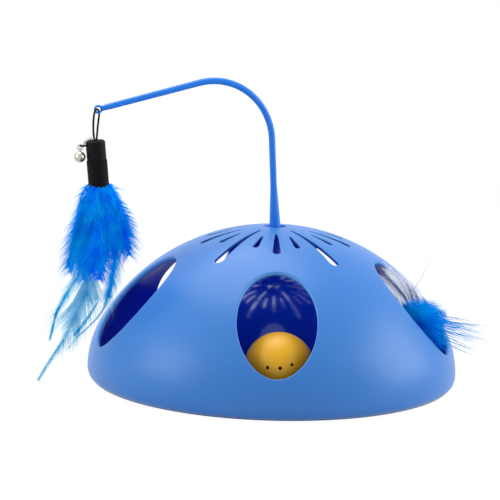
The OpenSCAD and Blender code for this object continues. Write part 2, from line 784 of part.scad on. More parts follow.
module idler_gear_two() { translate(idler_two) idler_gear(layer_two, 0, mesh_a + 180 + 180 / pinion_teeth); }

module output_gear() {
    color("white") translate([0, 0, layer_three]) rotate([0, 0, mesh_a]) difference() {
        gear(wheel_teeth, gear_w);
        translate([0, 0, -1]) cylinder(h = gear_w + 2, d = shaft_d + 2 * press_gap);
    }
}

module output_shaft() {
    shoulder_z = deck_top + bush_flange_t + fit_gap;
    color("silver") difference() {
        union() {
            translate([0, 0, deck_z]) cylinder(h = shaft_top - deck_z, d = shaft_d);
            translate([0, 0, shoulder_z]) cylinder(h = layer_three - shoulder_z, r = shoulder_r);
        }
        translate([0, 0, shaft_top - 10]) cylinder(h = 11, d = screw_d + 2 * press_gap);
    }
}

// Power board and switch

module circuit_board() {
    color("green") translate([board_x - board_w / 2, -board_l / 2, board_z]) cube([board_w, board_l, board_t]);
}

module switch_body() {
    color("dimgray") translate([board_x, 0, 0]) difference() {
        translate([-switch_w / 2, -switch_l / 2, floor_top]) cube([switch_w, switch_l, board_z - floor_top]);
        translate([-knob_w / 2 - knob_gap, -knob_l / 2 - switch_travel / 2 - fit_gap, floor_top - 1])
            cube([knob_w + 2 * knob_gap, knob_l + switch_travel + 2 * fit_gap, knob_rise + 1]);
    }
}

module switch_knob() {
    color("black") translate([board_x - knob_w / 2, -knob_l / 2 - switch_travel / 2, edge_z + 0.4])
        cube([knob_w, knob_l, floor_top + knob_rise - knob_gap - edge_z - 0.4]);
}

// Spinner: the turning inner dome with the wand socket on its crown

module side_direction() {
    rotate([0, 0, side_az]) translate([side_base_r, 0, side_socket_h]) rotate([0, 90 - side_rise, 0]) children();
}

module spinner_dome() {
    color("darkblue") difference() {
        union() {
            rotate_extrude() difference() {
                polygon(concat(
                    arc([0, spinner_z], spinner_r, 90, 0, 24),
                    [[spinner_r, spinner_edge], [spinner_r - spinner_wall, spinner_edge]],
                    arc([0, spinner_z], spinner_r - spinner_wall, 0, 90, 24)));
            }
            translate([0, 0, hub_z]) cylinder(h = spinner_h - hub_z - spinner_wall / 2, r = hub_out_r);
            translate([0, 0, spinner_h - spinner_wall]) cylinder(h = socket_top - spinner_h + spinner_wall, d = socket_d);
        }
        translate([0, 0, hub_z - 1]) cylinder(h = shaft_top - hub_z + 1, d = shaft_d + 2 * press_gap);
        translate([0, 0, hub_z]) cylinder(h = socket_top, d = screw_d + 2 * fit_gap);
        translate([0, 0, socket_floor]) cylinder(h = socket_top, d = plug_d + 2 * press_gap);
        side_direction() translate([0, 0, -2 * side_socket_d])
            cylinder(h = 3 * side_socket_d, d = side_spigot_d + 2 * press_gap);
    }
}

module spinner_screw() {
    color("silver") translate([0, 0, socket_floor]) rotate([180, 0, 0]) screw(socket_floor - shaft_top + 8);
}

// Socket that sits on the spinner's round side, with a spigot through its wall
module side_socket() {
    spigot_in = 2 * side_socket_d;
    color("darkblue") difference() {
        side_direction() {
            translate([0, 0, -side_socket_d]) cylinder(h = side_socket_l + side_socket_d, d = side_socket_d);
        }
        difference() {
            translate([0, 0, spinner_z]) sphere(r = spinner_r + press_gap);
            intersection() {
                side_direction() translate([0, 0, -spigot_in]) cylinder(h = 2 * spigot_in, d = side_spigot_d);
                difference() {
                    cylinder(h = far, r = spinner_r + 1);
                    translate([0, 0, spinner_z]) sphere(r = spinner_r - spinner_wall - 1);
                }
            }
        }
        side_direction() cylinder(h = side_socket_l + 1, d = side_bore);
    }
}

module side_feather_sleeve() {
    color("black") side_direction() translate([0, 0, skin])
        cylinder(h = side_socket_l + side_sleeve_out, d = side_bore - 2 * press_gap);
}

module side_feather() {
    start = side_socket_l + side_sleeve_out + side_bore * sin(side_droop);
    l = (side_reach - side_base_r - start * cos(side_rise)) / cos(side_droop - side_rise);
    outline = [for (i = [0:12]) let (t = i / 12)
        [side_bore / 2 * (1 - t) + 0.3 + side_fluff_r * pow(sin(180 * pow(t, 0.8)), 0.8), l * t]];
    color("dodgerblue") side_direction() translate([0, 0, start]) rotate([0, side_droop, 0]) rotate_extrude()
        polygon(concat([[0, 0]], outline, [[0, l]]));
}

// Wand: plug, collar, flared foot, upright, bend, arm and eyelet

module wand() {
    color("royalblue") in_wand_plane() {
        translate([0, 0, socket_floor + head_h + fit_gap])
            cylinder(h = socket_top - socket_floor - head_h - fit_gap + skin, d = plug_d);
        translate([0, 0, socket_top]) cylinder(h = collar_t + 0.6, d = collar_d);
        translate([0, 0, lean_z]) rotate([0, wand_lean, 0]) {
            rotate_extrude() polygon([[0, 0], [wand_foot_d / 2, 0], [wand_d / 2, flare_l],
                                      [wand_d / 2, wand_rise + lap], [0, wand_rise + lap]]);
            translate([bend_r, 0, wand_rise]) rotate([90, 0, 0]) rotate([0, 0, 180 - turn])
                rotate_extrude(angle = turn) translate([bend_r, 0]) circle(d = wand_d - 10 * skin);
            translate([bend_end[0], 0, bend_end[1]]) rotate([0, turn, 0]) translate([0, 0, -lap])
                cylinder(h = arm_l - eye_r + lap, d1 = wand_d, d2 = wand_tip_d);
            translate([eye_local[0], 0, eye_local[1]]) rotate([90, 0, 0]) ring(eye_r, eye_wire_d);
        }
    }
}

// Teaser on its cord loop

module teaser_cord() { color("black") from_eye() tube(cord_route, cord_d, cord_sides); }

module cord_knot() {
    color("black") from_eye() translate(knot_at) difference() {
        sphere(r = knot_r);
        translate([-far / 2, -far / 2, cord_route[0][2] - knot_at[2]]) cube(far);
    }
}

module teaser_cap() {
    color("black") from_knot() difference() {
        union() {
            rotate_extrude() polygon(concat(
                [[0, tube_top], [cap_d / 2, tube_top]],
                arc([cap_d / 2 - cap_round, cap_over_knot - cap_round], cap_round, 0, 90, 6),
                [[0, cap_over_knot]]));
            translate([bell_eye_x, 0, bell_eye_z]) ring(bell_eye_r, bell_wire_d);
        }
        sphere(r = knot_cup_r);
        cylinder(h = cap_over_knot + skin, r1 = cup_throat_r, r2 = cup_mouth_r);
        translate([0, 0, tube_top - 1]) cylinder(h = spigot_l + 1, d = spigot_d + 2 * press_gap);
    }
}

module teaser_tube() {
    color("black") from_knot() difference() {
        union() {
            translate([0, 0, tube_bottom]) cylinder(h = tube_l - groove_h, d = tube_d);
            translate([0, 0, tube_top - groove_h - skin]) cylinder(h = groove_h + skin, d = tube_d - groove_d);
            translate([0, 0, tube_top - skin]) cylinder(h = spigot_l - fit_gap + skin, d = spigot_d);
        }
        translate([0, 0, tube_bottom - 1]) cylinder(h = tube_l - ferrule_wall, d = tube_d - 2 * ferrule_wall);
    }
}

module teaser_fluff() {
    core_r = tube_d / 2 - ferrule_wall - fit_gap;
    core_l = tube_l - ferrule_wall - 1 - fit_gap;
    outline = [for (i = [0:14]) let (t = i / 14)
        [core_r * (1 - t) + fluff_r * pow(sin(180 * pow(t, 1.35)), 0.75), -fluff_l * t]];
    color("dodgerblue") from_knot() translate([0, 0, tube_bottom - fit_gap]) rotate_extrude()
        polygon(concat([[0, core_l], [core_r, core_l]], outline));
}

// Plume cut from its middle line and half width
module plume(p) {
    n = 12;
    mid = [for (i = [0:n]) bezier(p, i / n)];
    side = [for (i = [0:n]) let (d = unit(mid[min(i + 1, n)] - mid[max(i - 1, 0)]),
            w = 0.4 + p[3] * sin(180 * pow(i / n, 0.8))) w * [d[1], -d[0]]];
    translate([0, p[4] + plume_t / 2, 0]) rotate([90, 0, 0]) linear_extrude(plume_t)
        polygon(concat([for (i = [0:n]) mid[i] + side[i]], [for (i = [n:-1:0]) mid[i] - side[i]]));
}

module teaser_plumes() {
    color("deepskyblue") from_eye() translate(knot_at) for (p = plumes) plume(p);
}

// Bell on a link that hangs from the cap's eye

module bell_place() {
    from_knot() translate([bell_eye_x + bell_eye_r, 0, bell_eye_z]) rotate([0, -teaser_tilt, 0]) children();
}

module bell_link() {
    color("silver") bell_place() translate([0, 0, -link_drop]) rotate([90, 0, 0]) ring(link_r, bell_wire_d);
}

module bell_shell() {
    color("silver") bell_place() {
        translate([0, 0, -bell_drop]) difference() {
            sphere(d = bell_d);
            sphere(d = bell_d - 2 * bell_wall);
            translate([-far / 2, -bell_slit / 2, -bell_d]) cube([far, bell_slit, bell_d]);
            translate([-bell_slit / 2, -far / 2, -bell_d]) cube([bell_slit, far, bell_d]);
        }
        difference() {
            translate([0, 0, -top_eye_drop]) rotate([0, 90, 0]) ring(top_eye_r, bell_wire_d);
            translate([0, 0, -bell_drop]) sphere(d = bell_d - bell_wall);
        }
    }
}

module bell_pellet() {
    color("gray") bell_place() translate([0, 0, -bell_drop - bell_d / 2 + bell_wall + pellet_d / 2 + fit_gap / 2])
        sphere(d = pellet_d);
}

// Ball in two halves, each with a ring of small holes

module ball_half(side) {
    color("gold") at_polar(track_r, ball_az) translate([0, 0, ball_z]) rotate([0, ball_tip, 0]) difference() {
        rotate_extrude() polygon(concat(
            arc([0, 0], ball_d / 2, 0, side * 90, 20),
            arc([0, 0], ball_d / 2 - ball_wall, side * 90, 0, 20)));
        for (i = [0:ball_groups - 1], k = [-1:1]) rotate([0, 0, 360 * i / ball_groups + ball_hole_turn * k])
            rotate([0, 90 - side * ball_hole_lat, 0]) cylinder(h = ball_d, d = ball_hole_d);
    }
}

module ball_upper_half() { ball_half(1); }

module ball_lower_half() { ball_half(-1); }

dome_cover();
base_plate();
battery_door();
battery_door_screw();
dome_screws();
case_screws();
foot_front();
foot_right();
foot_back_right();
foot_back_left();
foot_left();
aa_cell_left();
aa_cell_middle();
aa_cell_right();
contact_plates();
contact_springs();
gear_case();
gear_case_lid();
lid_screws();
lower_bush();
upper_bush();
gear_pin_one();
gear_pin_two();
motor_can();
motor_end_cap();
motor_shaft();
motor_pinion();
idler_gear_one();
idler_gear_two();
output_gear();
output_shaft();
circuit_board();
switch_body();
switch_knob();
spinner_dome();
spinner_screw();
side_socket();
side_feather_sleeve();
side_feather();
wand();
teaser_cord();
cord_knot();
teaser_cap();
teaser_tube();
teaser_fluff();
teaser_plumes();
bell_link();
bell_shell();
bell_pellet();
ball_upper_half();
ball_lower_half();
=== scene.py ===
"""Looks of an automatic cat feather toy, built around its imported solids. Metres, +Z up, -Y to the front."""

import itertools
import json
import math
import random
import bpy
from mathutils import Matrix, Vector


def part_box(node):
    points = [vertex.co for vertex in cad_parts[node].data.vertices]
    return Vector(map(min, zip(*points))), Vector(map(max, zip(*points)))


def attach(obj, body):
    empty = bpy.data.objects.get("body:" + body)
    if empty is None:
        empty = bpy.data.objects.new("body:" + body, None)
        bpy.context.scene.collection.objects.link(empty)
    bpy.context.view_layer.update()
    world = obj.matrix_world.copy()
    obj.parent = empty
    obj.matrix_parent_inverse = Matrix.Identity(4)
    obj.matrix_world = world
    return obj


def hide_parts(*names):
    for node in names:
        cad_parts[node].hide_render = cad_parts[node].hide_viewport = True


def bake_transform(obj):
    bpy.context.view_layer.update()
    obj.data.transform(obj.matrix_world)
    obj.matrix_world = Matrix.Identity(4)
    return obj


bl_info = {
    "name": "Cat feather toy",
    "version": (1, 0, 0),
    "blender": (4, 5, 0),
    "location": "View3D > Sidebar > Cat toy",
    "description": "Dresses the solids of an automatic cat feather toy",
    "category": "Object",
}

import bmesh
import bpy
from bpy.props import FloatProperty, FloatVectorProperty, IntProperty, PointerProperty
from mathutils import Matrix, Vector
from mathutils.geometry import delaunay_2d_cdt

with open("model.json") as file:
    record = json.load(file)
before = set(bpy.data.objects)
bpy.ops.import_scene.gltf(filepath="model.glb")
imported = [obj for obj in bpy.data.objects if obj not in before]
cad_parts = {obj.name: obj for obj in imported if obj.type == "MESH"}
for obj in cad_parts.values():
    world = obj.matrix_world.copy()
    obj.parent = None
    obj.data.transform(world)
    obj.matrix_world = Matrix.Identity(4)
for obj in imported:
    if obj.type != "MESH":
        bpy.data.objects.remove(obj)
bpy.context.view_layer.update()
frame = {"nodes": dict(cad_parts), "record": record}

MM = 0.001
UP = Vector((0, 0, 1))
JOINTS = {j["name"]: j for j in frame["record"]["behaviour"]["joints"]}
EYELET = Vector(JOINTS["loop_swing"]["pos_m"])
KNOT = Vector(JOINTS["teaser_swing"]["pos_m"])
OUT = Vector(JOINTS["teaser_swing"]["axis"])
ACROSS = -Vector(JOINTS["loop_swing"]["axis"])
TEASER_TILT = math.radians(5.5)
TEASER_UP = UP * math.cos(TEASER_TILT) + OUT * math.sin(TEASER_TILT)
TEASER_OUT = OUT * math.cos(TEASER_TILT) - UP * math.sin(TEASER_TILT)


def linear(*rgb):
    """Scene-linear colour of 8-bit screen values."""
    shares = [v / 255 for v in rgb]
    return tuple(c / 12.92 if c <= 0.04045 else ((c + 0.055) / 1.055) ** 2.4 for c in shares)


def colour_prop(name, about, *rgb):
    return FloatVectorProperty(
        name=name, description=about, subtype="COLOR", size=3, min=0, max=1, default=linear(*rgb))


def length_prop(name, about, mm):
    return FloatProperty(
        name=name, description=about, subtype="DISTANCE", unit="LENGTH", default=mm * MM, min=0, max=1)


def angle_prop(name, about, degrees):
    return FloatProperty(name=name, description=about, subtype="ANGLE", default=math.radians(degrees))


def count_prop(name, about, count, low, high):
    return IntProperty(name=name, description=about, default=count, min=low, max=high)


class ToyColours(bpy.types.PropertyGroup):
    dome: colour_prop("Dome", "Colour of the dome cover", 54, 119, 196)
    # Painted highlight: the pale lip colour stands in for the light caught on the rounded lips of the holes
    # and slots.
    lip: colour_prop("Lips", "Colour of the lips of the holes and slots", 112, 182, 255)
    # Painted shade: the deep inside colour stands in for the shade on the dome's inner skin and slot walls.
    inside: colour_prop("Dome inside", "Colour of the dome's inner skin and of its slots' walls", 10, 52, 196)
    spinner: colour_prop("Spinner", "Colour of the spinner dome", 12, 64, 224)
    base: colour_prop("Base", "Colour of the base plate and battery door", 10, 52, 208)
    wand: colour_prop("Wand", "Colour of the wand", 27, 120, 226)
    ball: colour_prop("Ball", "Colour of the ball", 224, 166, 22)
    feather_deep: colour_prop("Feather depth", "Colour deep in the feathers", 0, 90, 255)
    feather_pale: colour_prop("Feather tips", "Colour at the feathers' tips", 5, 184, 255)
    plume_deep: colour_prop("Plume quill", "Colour of the plumes along their quills", 8, 186, 240)
    plume_pale: colour_prop("Plume edge", "Colour of the plumes at their edges", 200, 240, 252)
    wisp: colour_prop("Wisps", "Colour of the pale wisps round the side bundle", 226, 232, 246)
    black: colour_prop("Black plastic", "Colour of the teaser cap and tube", 13, 12, 16)
    cord: colour_prop("Cord", "Colour of the cord loop", 7, 7, 9)
    metal: colour_prop("Metal", "Colour of the bell and chain", 200, 195, 184)


class ToySizes(bpy.types.PropertyGroup):
    dome_d: length_prop("Dome diameter", "Widest diameter of the dome cover", 240)
    dome_h: length_prop("Dome height", "Height of the dome from its edge to its crown", 99.6)
    side_r: length_prop("Side radius", "Radius of the dome's side", 58)
    waist_h: length_prop("Waist height", "Height of the widest line above the edge", 6)
    edge_inset: length_prop("Edge inset", "How far the edge is drawn in", 3)
    foot_gap: length_prop("Foot gap", "Height of the dome's edge above the floor", 2)
    dome_wall: length_prop("Dome wall", "Wall of the dome cover", 3.2)
    hole_w: length_prop("Paw hole width", "Width of a paw hole", 48.8)
    hole_l: length_prop("Paw hole length", "Length of a paw hole", 72.5)
    hole_h: length_prop("Paw hole height", "Height of a paw hole's middle above the edge", 57.5)
    hole_lip: length_prop("Paw hole lip", "Rounding of a paw hole's lips", 1.2)
    slot_lip: length_prop("Slot lip", "Rounding of a slot's lips", 0.25)
    slot_flare: length_prop("Slot flare", "How much further out a slot's sides lie on the inside", 1.6)
    hole_tilt: angle_prop("Paw hole slope", "Slope of the direction the holes are cut in", 52)
    hole_turn: angle_prop("Paw hole turn", "Turn of the front paw hole from straight ahead", 1.7)
    ball_d: length_prop("Ball diameter", "Diameter of the ball", 43)
    wand_d: length_prop("Wand diameter", "Diameter of the wand along its upright", 4.2)
    cord_d: length_prop("Cord diameter", "Diameter of the cord loop", 1.3)


class ToyFeathers(bpy.types.PropertyGroup):
    fluff_count: count_prop("Fluff feathers", "Feathers in the teaser's fluff", 48, 8, 90)
    barbs: count_prop("Barbs", "Barbs on each side of a fluff feather", 96, 10, 140)
    side_count: count_prop("Side feathers", "Feathers in the side bundle", 38, 4, 60)
    side_strands: count_prop("Side strands", "Loose strands past the side bundle", 90, 0, 200)
    wisp_count: count_prop("Wisps", "Pale wisps round the side bundle", 52, 0, 80)


class ToyStage(bpy.types.PropertyGroup):
    lens: FloatProperty(name="Lens", description="Focal length of the camera in millimetres", default=132.55)
    key_power: FloatProperty(
        name="Key light", description="Power of the overhead light", subtype="POWER", default=12.4)
    fill_power: FloatProperty(
        name="Fill light", description="Power of the side lights", subtype="POWER", default=4.5)
    world: FloatProperty(name="Surround", description="Strength of the light from all round", default=0.52)


# Meshes


def new_object(name, bm, smooth=True):
    """Object that sits at the origin and holds a finished bmesh."""
    mesh = bpy.data.meshes.new(name)
    bm.to_mesh(mesh)
    bm.free()
    if smooth:
        mesh.shade_smooth()
    piece = bpy.data.objects.new(name, mesh)
    bpy.context.scene.collection.objects.link(piece)
    return piece


def finish_piece(piece, material, body, slot, *nodes):
    """Gives a piece its finish, its body and the solids that it stands for."""
    piece.data.materials.append(material)
    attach(piece, body)
    if nodes:
        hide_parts(*nodes)


def dress(material, *names):
    """Gives carried-over solids their finish."""
    for name in names:
        mesh = frame["nodes"][name].data
        mesh.materials.clear()
        mesh.materials.append(material)


def stood(centre, axis):
    """Matrix that takes a shape about the vertical to a place and an axis."""
    return Matrix.Translation(centre) @ UP.rotation_difference(axis).to_matrix().to_4x4()


def turned(axis, degrees, size=4):
    return Matrix.Rotation(math.radians(degrees), size, axis)


def revolve(bm, geom, steps):
    """Full turn of vertices and edges about the vertical."""
    bmesh.ops.spin(bm, geom=geom, cent=(0, 0, 0), axis=UP, angle=math.tau, steps=steps, use_merge=True)


def spun(profile, steps, closed=False):
    """Turned shape from (radius, height) points in millimetres, with poles and seams closed."""
    bm = bmesh.new()
    verts = [bm.verts.new((max(r, 0) * MM, 0, z * MM)) for r, z in profile]
    edges = [bm.edges.new(pair) for pair in zip(verts, verts[1:])]
    if closed:
        edges.append(bm.edges.new((verts[-1], verts[0])))
    revolve(bm, verts + edges, steps)
    bmesh.ops.remove_doubles(bm, verts=bm.verts, dist=1e-7)
    bmesh.ops.recalc_face_normals(bm, faces=bm.faces)
    return bm


def arc(z, r, a0, a1, n):
    """Points of an arc about a height on the axis, with angles in degrees from level."""
    turns = [math.radians(a0 + (a1 - a0) * i / n) for i in range(n + 1)]
    return [(r * math.cos(a), z + r * math.sin(a)) for a in turns]


def bridge(bm, low, high):
    """Band of faces between two loops of as many vertices."""
    n = len(low)
    for i in range(n):
        bm.faces.new((low[i], low[(i + 1) % n], high[(i + 1) % n], high[i]))


def swept(route, radii, sides, bm=None):
    """Round bar along a route, with its own radius at each point."""
    bm = bm or bmesh.new()
    side = None
    rings = []
    turns = [math.tau * k / sides for k in range(sides)]
    for i, point in enumerate(route):
        way = (route[min(i + 1, len(route) - 1)] - route[max(i - 1, 0)]).normalized()
        side = (way.orthogonal() if side is None else side - way * side.dot(way)).normalized()
        other = way.cross(side)
        places = [point + radii[i] * (side * math.cos(a) + other * math.sin(a)) for a in turns]
        rings.append([bm.verts.new(place) for place in places])
    for low, high in zip(rings, rings[1:]):
        bridge(bm, low, high)
    bm.faces.new(list(reversed(rings[0])))
    bm.faces.new(rings[-1])
    return bm


def ring_into(bm, centre, normal, r, wire, steps, sides):
    """Wire ring added to a bmesh, with its radius and its wire's in millimetres."""
    before = set(bm.verts)
    section = Matrix.Translation((r * MM, 0, 0)) @ turned("X", 90)
    verts = bmesh.ops.create_circle(bm, segments=sides, radius=wire * MM, matrix=section)["verts"]
    edges = {e for v in verts for e in v.link_edges}
    revolve(bm, [*verts, *edges], steps)
    made = [v for v in bm.verts if v not in before]
    bmesh.ops.transform(bm, matrix=stood(centre, normal), verts=made)
    bmesh.ops.recalc_face_normals(bm, faces=list({f for v in made for f in v.link_faces}))


def smooth_by_angle(piece, degrees):
    """Smooth shading with the sharp edges kept."""
    bm = bmesh.new()
    bm.from_mesh(piece.data)
    limit = math.radians(degrees)
    for edge in bm.edges:
        edge.smooth = len(edge.link_faces) == 2 and edge.calc_face_angle(0) < limit
    for face in bm.faces:
        face.smooth = True
    bm.to_mesh(piece.data)
    bm.free()


def cut(piece, cutter):
    """Takes a cutter's shape out of a piece and removes the cutter."""
    step = piece.modifiers.new("cut", "BOOLEAN")
    step.operation = "DIFFERENCE"
    step.solver = "EXACT"
    step.object = cutter
    bpy.context.view_layer.update()
    shape = bpy.data.meshes.new_from_object(piece.evaluated_get(bpy.context.evaluated_depsgraph_get()))
    piece.modifiers.clear()
    old = piece.data
    piece.data = shape
    bpy.data.meshes.remove(old)
    bpy.data.objects.remove(cutter)


# Materials


def feed(made, values):
    """Sets a node's inputs: a socket is linked to its input, and anything else is the input's own value."""
    for key, value in values.items():
        if isinstance(value, bpy.types.NodeSocket):
            made.id_data.links.new(value, made.inputs[key])
        else:
            made.inputs[key].default_value = value


def node(tree, kind, at, values=None, **settings):
    """New node with its settings and its inputs."""
    made = tree.nodes.new(kind)
    made.location = at
    for key, value in settings.items():
        setattr(made, key, value)
    feed(made, values or {})
    return made


def maths(tree, operation, at, *values, clamp=False):
    inputs = dict(enumerate(values))
    return node(tree, "ShaderNodeMath", at, inputs, operation=operation, use_clamp=clamp).outputs[0]


def noise(tree, at, place, scale, detail=2):
    inputs = {"Vector": place, "Scale": scale, "Detail": detail}
    return node(tree, "ShaderNodeTexNoise", at, inputs).outputs["Fac"]


def mixed(tree, at, factor, a, b):
    """Colour between two colours."""
    inputs = {"Factor": factor, "A": a, "B": b}
    return node(tree, "ShaderNodeMix", at, inputs, data_type="RGBA").outputs["Result"]


def bump(tree, at, height, strength, depth):
    """Normal of a bump, with its depth in millimetres."""
    inputs = {"Height": height, "Strength": strength, "Distance": depth * MM}
    return node(tree, "ShaderNodeBump", at, inputs).outputs["Normal"]


def object_place(tree):
    return node(tree, "ShaderNodeTexCoord", (-900, 0)).outputs["Object"]


def rgba(colour, gain=1):
    return (*(min(1, c * gain) for c in colour), 1)


def moulded_grain(tree, take):
    """Moulded plastic: faint clouding of colour and gloss, and the fine skin of the mould."""
    cloud = noise(tree, (-600, 200), take["Vector"], 22, 3)
    flow = noise(tree, (-600, -40), take["Vector"], 140, 4)
    grains = maths(tree, "DIVIDE", (-760, -320), 1, take["Grain size"])
    grain = noise(tree, (-600, -300), take["Vector"], grains)
    centre = maths(tree, "SUBTRACT", (-400, 200), cloud, 0.5)
    amount = maths(tree, "MULTIPLY", (-220, 200), centre, take["Clouding"])
    lift = maths(tree, "ADD", (-40, 200), amount, 1)
    tone = node(tree, "ShaderNodeHueSaturation", (160, 200), {"Value": lift, "Color": take["Colour"]})
    spread = maths(tree, "SUBTRACT", (-400, -40), flow, 0.5)
    wide = maths(tree, "MULTIPLY", (-220, -40), spread, take["Gloss spread"])
    rough = maths(tree, "ADD", (-40, -40), wide, take["Roughness"], clamp=True)
    return {"Colour": tone.outputs["Color"], "Roughness": rough, "Height": grain}


def barb_tint(tree, take):
    """Feather: deep colour to tips by the barb's own tint, with a mottle that fades at the tips."""
    mottle = noise(tree, (-480, -160), take["Vector"], 130, 3)
    shift = maths(tree, "MULTIPLY_ADD", (-280, -160), mottle, 1.8, -0.9)
    calm = maths(tree, "MULTIPLY_ADD", (-280, 60), take["Tint"], -0.6, 1)
    total = maths(tree, "MULTIPLY_ADD", (-100, -60), shift, calm, take["Tint"], clamp=True)
    return {"Colour": mixed(tree, (120, 120), total, take["Deep"], take["Tips"]),
            "Height": noise(tree, (-480, -420), take["Vector"], 4200)}


# Shader groups: what makes their nodes, and the sockets that they take and give, with each input's own value.
SHADER_GROUPS = {
    "Moulded grain": (
        moulded_grain,
        (("Vector", "Vector"), ("Colour", "Color", (0.5, 0.5, 0.5, 1)), ("Clouding", "Float", 0.06),
         ("Roughness", "Float", 0.4), ("Gloss spread", "Float", 0.08), ("Grain size", "Float", 0.0006)),
        (("Colour", "Color"), ("Roughness", "Float"), ("Height", "Float"))),
    "Barb tint": (
        barb_tint,
        (("Tint", "Float", 0.5), ("Vector", "Vector"), ("Deep", "Color", (0, 0, 0.5, 1)),
         ("Tips", "Color", (0, 0.4, 0.8, 1))),
        (("Colour", "Color"), ("Height", "Float"))),
}


def shader_group(name):
    """Shader group, made when it is first asked for."""
    if name in bpy.data.node_groups:
        return bpy.data.node_groups[name]
    tree = bpy.data.node_groups.new(name, "ShaderNodeTree")
    build, takes, gives = SHADER_GROUPS[name]
    for in_out, sockets in (("INPUT", takes), ("OUTPUT", gives)):
        for label, kind, *value in sockets:
            item = tree.interface.new_socket(name=label, in_out=in_out, socket_type="NodeSocket" + kind)
            if value:
                item.default_value = value[0]
    take = node(tree, "NodeGroupInput", (-900, 0)).outputs
    node(tree, "NodeGroupOutput", (600, 0), build(tree, take))
    return tree


def grouped(tree, name, values):
    """Outputs of a shader group's node."""
    made = node(tree, "ShaderNodeGroup", (-560, 0), node_tree=shader_group(name))
    feed(made, values)
    return made.outputs


def start_material(name):
    material = bpy.data.materials.new(name)
    material.use_nodes = True
    tree = material.node_tree
    return material, tree, tree.nodes["Principled BSDF"]


def plastic(name, colour, roughness, clouding, grain, depth, gloss_spread=0.08, specular=0.5):
    """Moulded plastic or rubber. The grain's size and depth are in millimetres."""
    if name in bpy.data.materials:
        return bpy.data.materials[name]
    material, tree, shader = start_material(name)
    skin = grouped(tree, "Moulded grain", {
        "Vector": object_place(tree), "Colour": rgba(colour), "Clouding": clouding, "Roughness": roughness,
        "Gloss spread": gloss_spread, "Grain size": grain * MM})
    feed(shader, {
        "Base Color": skin["Colour"], "Roughness": skin["Roughness"], "Specular IOR Level": specular,
        "Normal": bump(tree, (-240, -260), skin["Height"], 0.5, depth)})
    return material


def feather_material(name, deep, tips, clear=0.0):
    """Soft barbs, which let a share of the light behind them through."""
    if name in bpy.data.materials:
        return bpy.data.materials[name]
    material, tree, shader = start_material(name)
    tint = node(tree, "ShaderNodeAttribute", (-800, 160), attribute_name="tint").outputs["Fac"]
    barb = grouped(tree, "Barb tint", {
        "Tint": tint, "Vector": object_place(tree), "Deep": rgba(deep), "Tips": rgba(tips)})
    feed(shader, {
        "Base Color": barb["Colour"], "Normal": bump(tree, (-240, -300), barb["Height"], 0.3, 0.05),
        "Roughness": 0.75, "Specular IOR Level": 0.06, "Transmission Weight": clear, "IOR": 1.1})
    return material


def brushed_metal(name, colour, roughness, stretch=(1, 1, 12)):
    """Metal with fine drawn lines."""
    if name in bpy.data.materials:
        return bpy.data.materials[name]
    material, tree, shader = start_material(name)
    turn = node(tree, "ShaderNodeMapping", (-700, 0), {"Vector": object_place(tree), "Scale": stretch})
    lines = noise(tree, (-480, 0), turn.outputs["Vector"], 900, 4)
    gloss = node(tree, "ShaderNodeMapRange", (-260, 0), {
        "Value": lines, "To Min": roughness - 0.1, "To Max": roughness + 0.12})
    feed(shader, {
        "Base Color": mixed(tree, (-260, 260), lines, rgba(colour, 0.82), rgba(colour)),
        "Roughness": gloss.outputs["Result"], "Metallic": 1,
        "Normal": bump(tree, (-260, -260), lines, 0.25, 0.02)})
    return material


def braided(name, colour):
    """Braided cord: slanting strands that cross along its length."""
    material, tree, shader = start_material(name)
    place = object_place(tree)
    strands = node(tree, "ShaderNodeTexWave", (-600, 120), {"Vector": place, "Scale": 520, "Distortion": 1.5},
                   bands_direction="DIAGONAL").outputs["Fac"]
    feed(shader, {
        "Base Color": mixed(tree, (-300, 160), strands, rgba(colour, 0.55), rgba(colour, 1.9)),
        "Roughness": noise(tree, (-600, -160), place, 2600), "Specular IOR Level": 0.15,
        "Normal": bump(tree, (-300, -220), strands, 1, 0.12)})
    return material


def spinner_gloss(look):
    """Glossy deep blue of the spinner and its feather socket, also on the wand's plug and collar as painted
    shade for the dark gap round the wand's foot.
    """
    gloss = plastic("spinner_gloss_blue", look.spinner, roughness=0.16, clouding=0.04, grain=1.2, depth=0.002,
                    gloss_spread=0.05, specular=0.6)
    feed(gloss.node_tree.nodes["Principled BSDF"], {"Specular Tint": (0.7, 0.85, 1, 1)})
    return gloss


# Dome


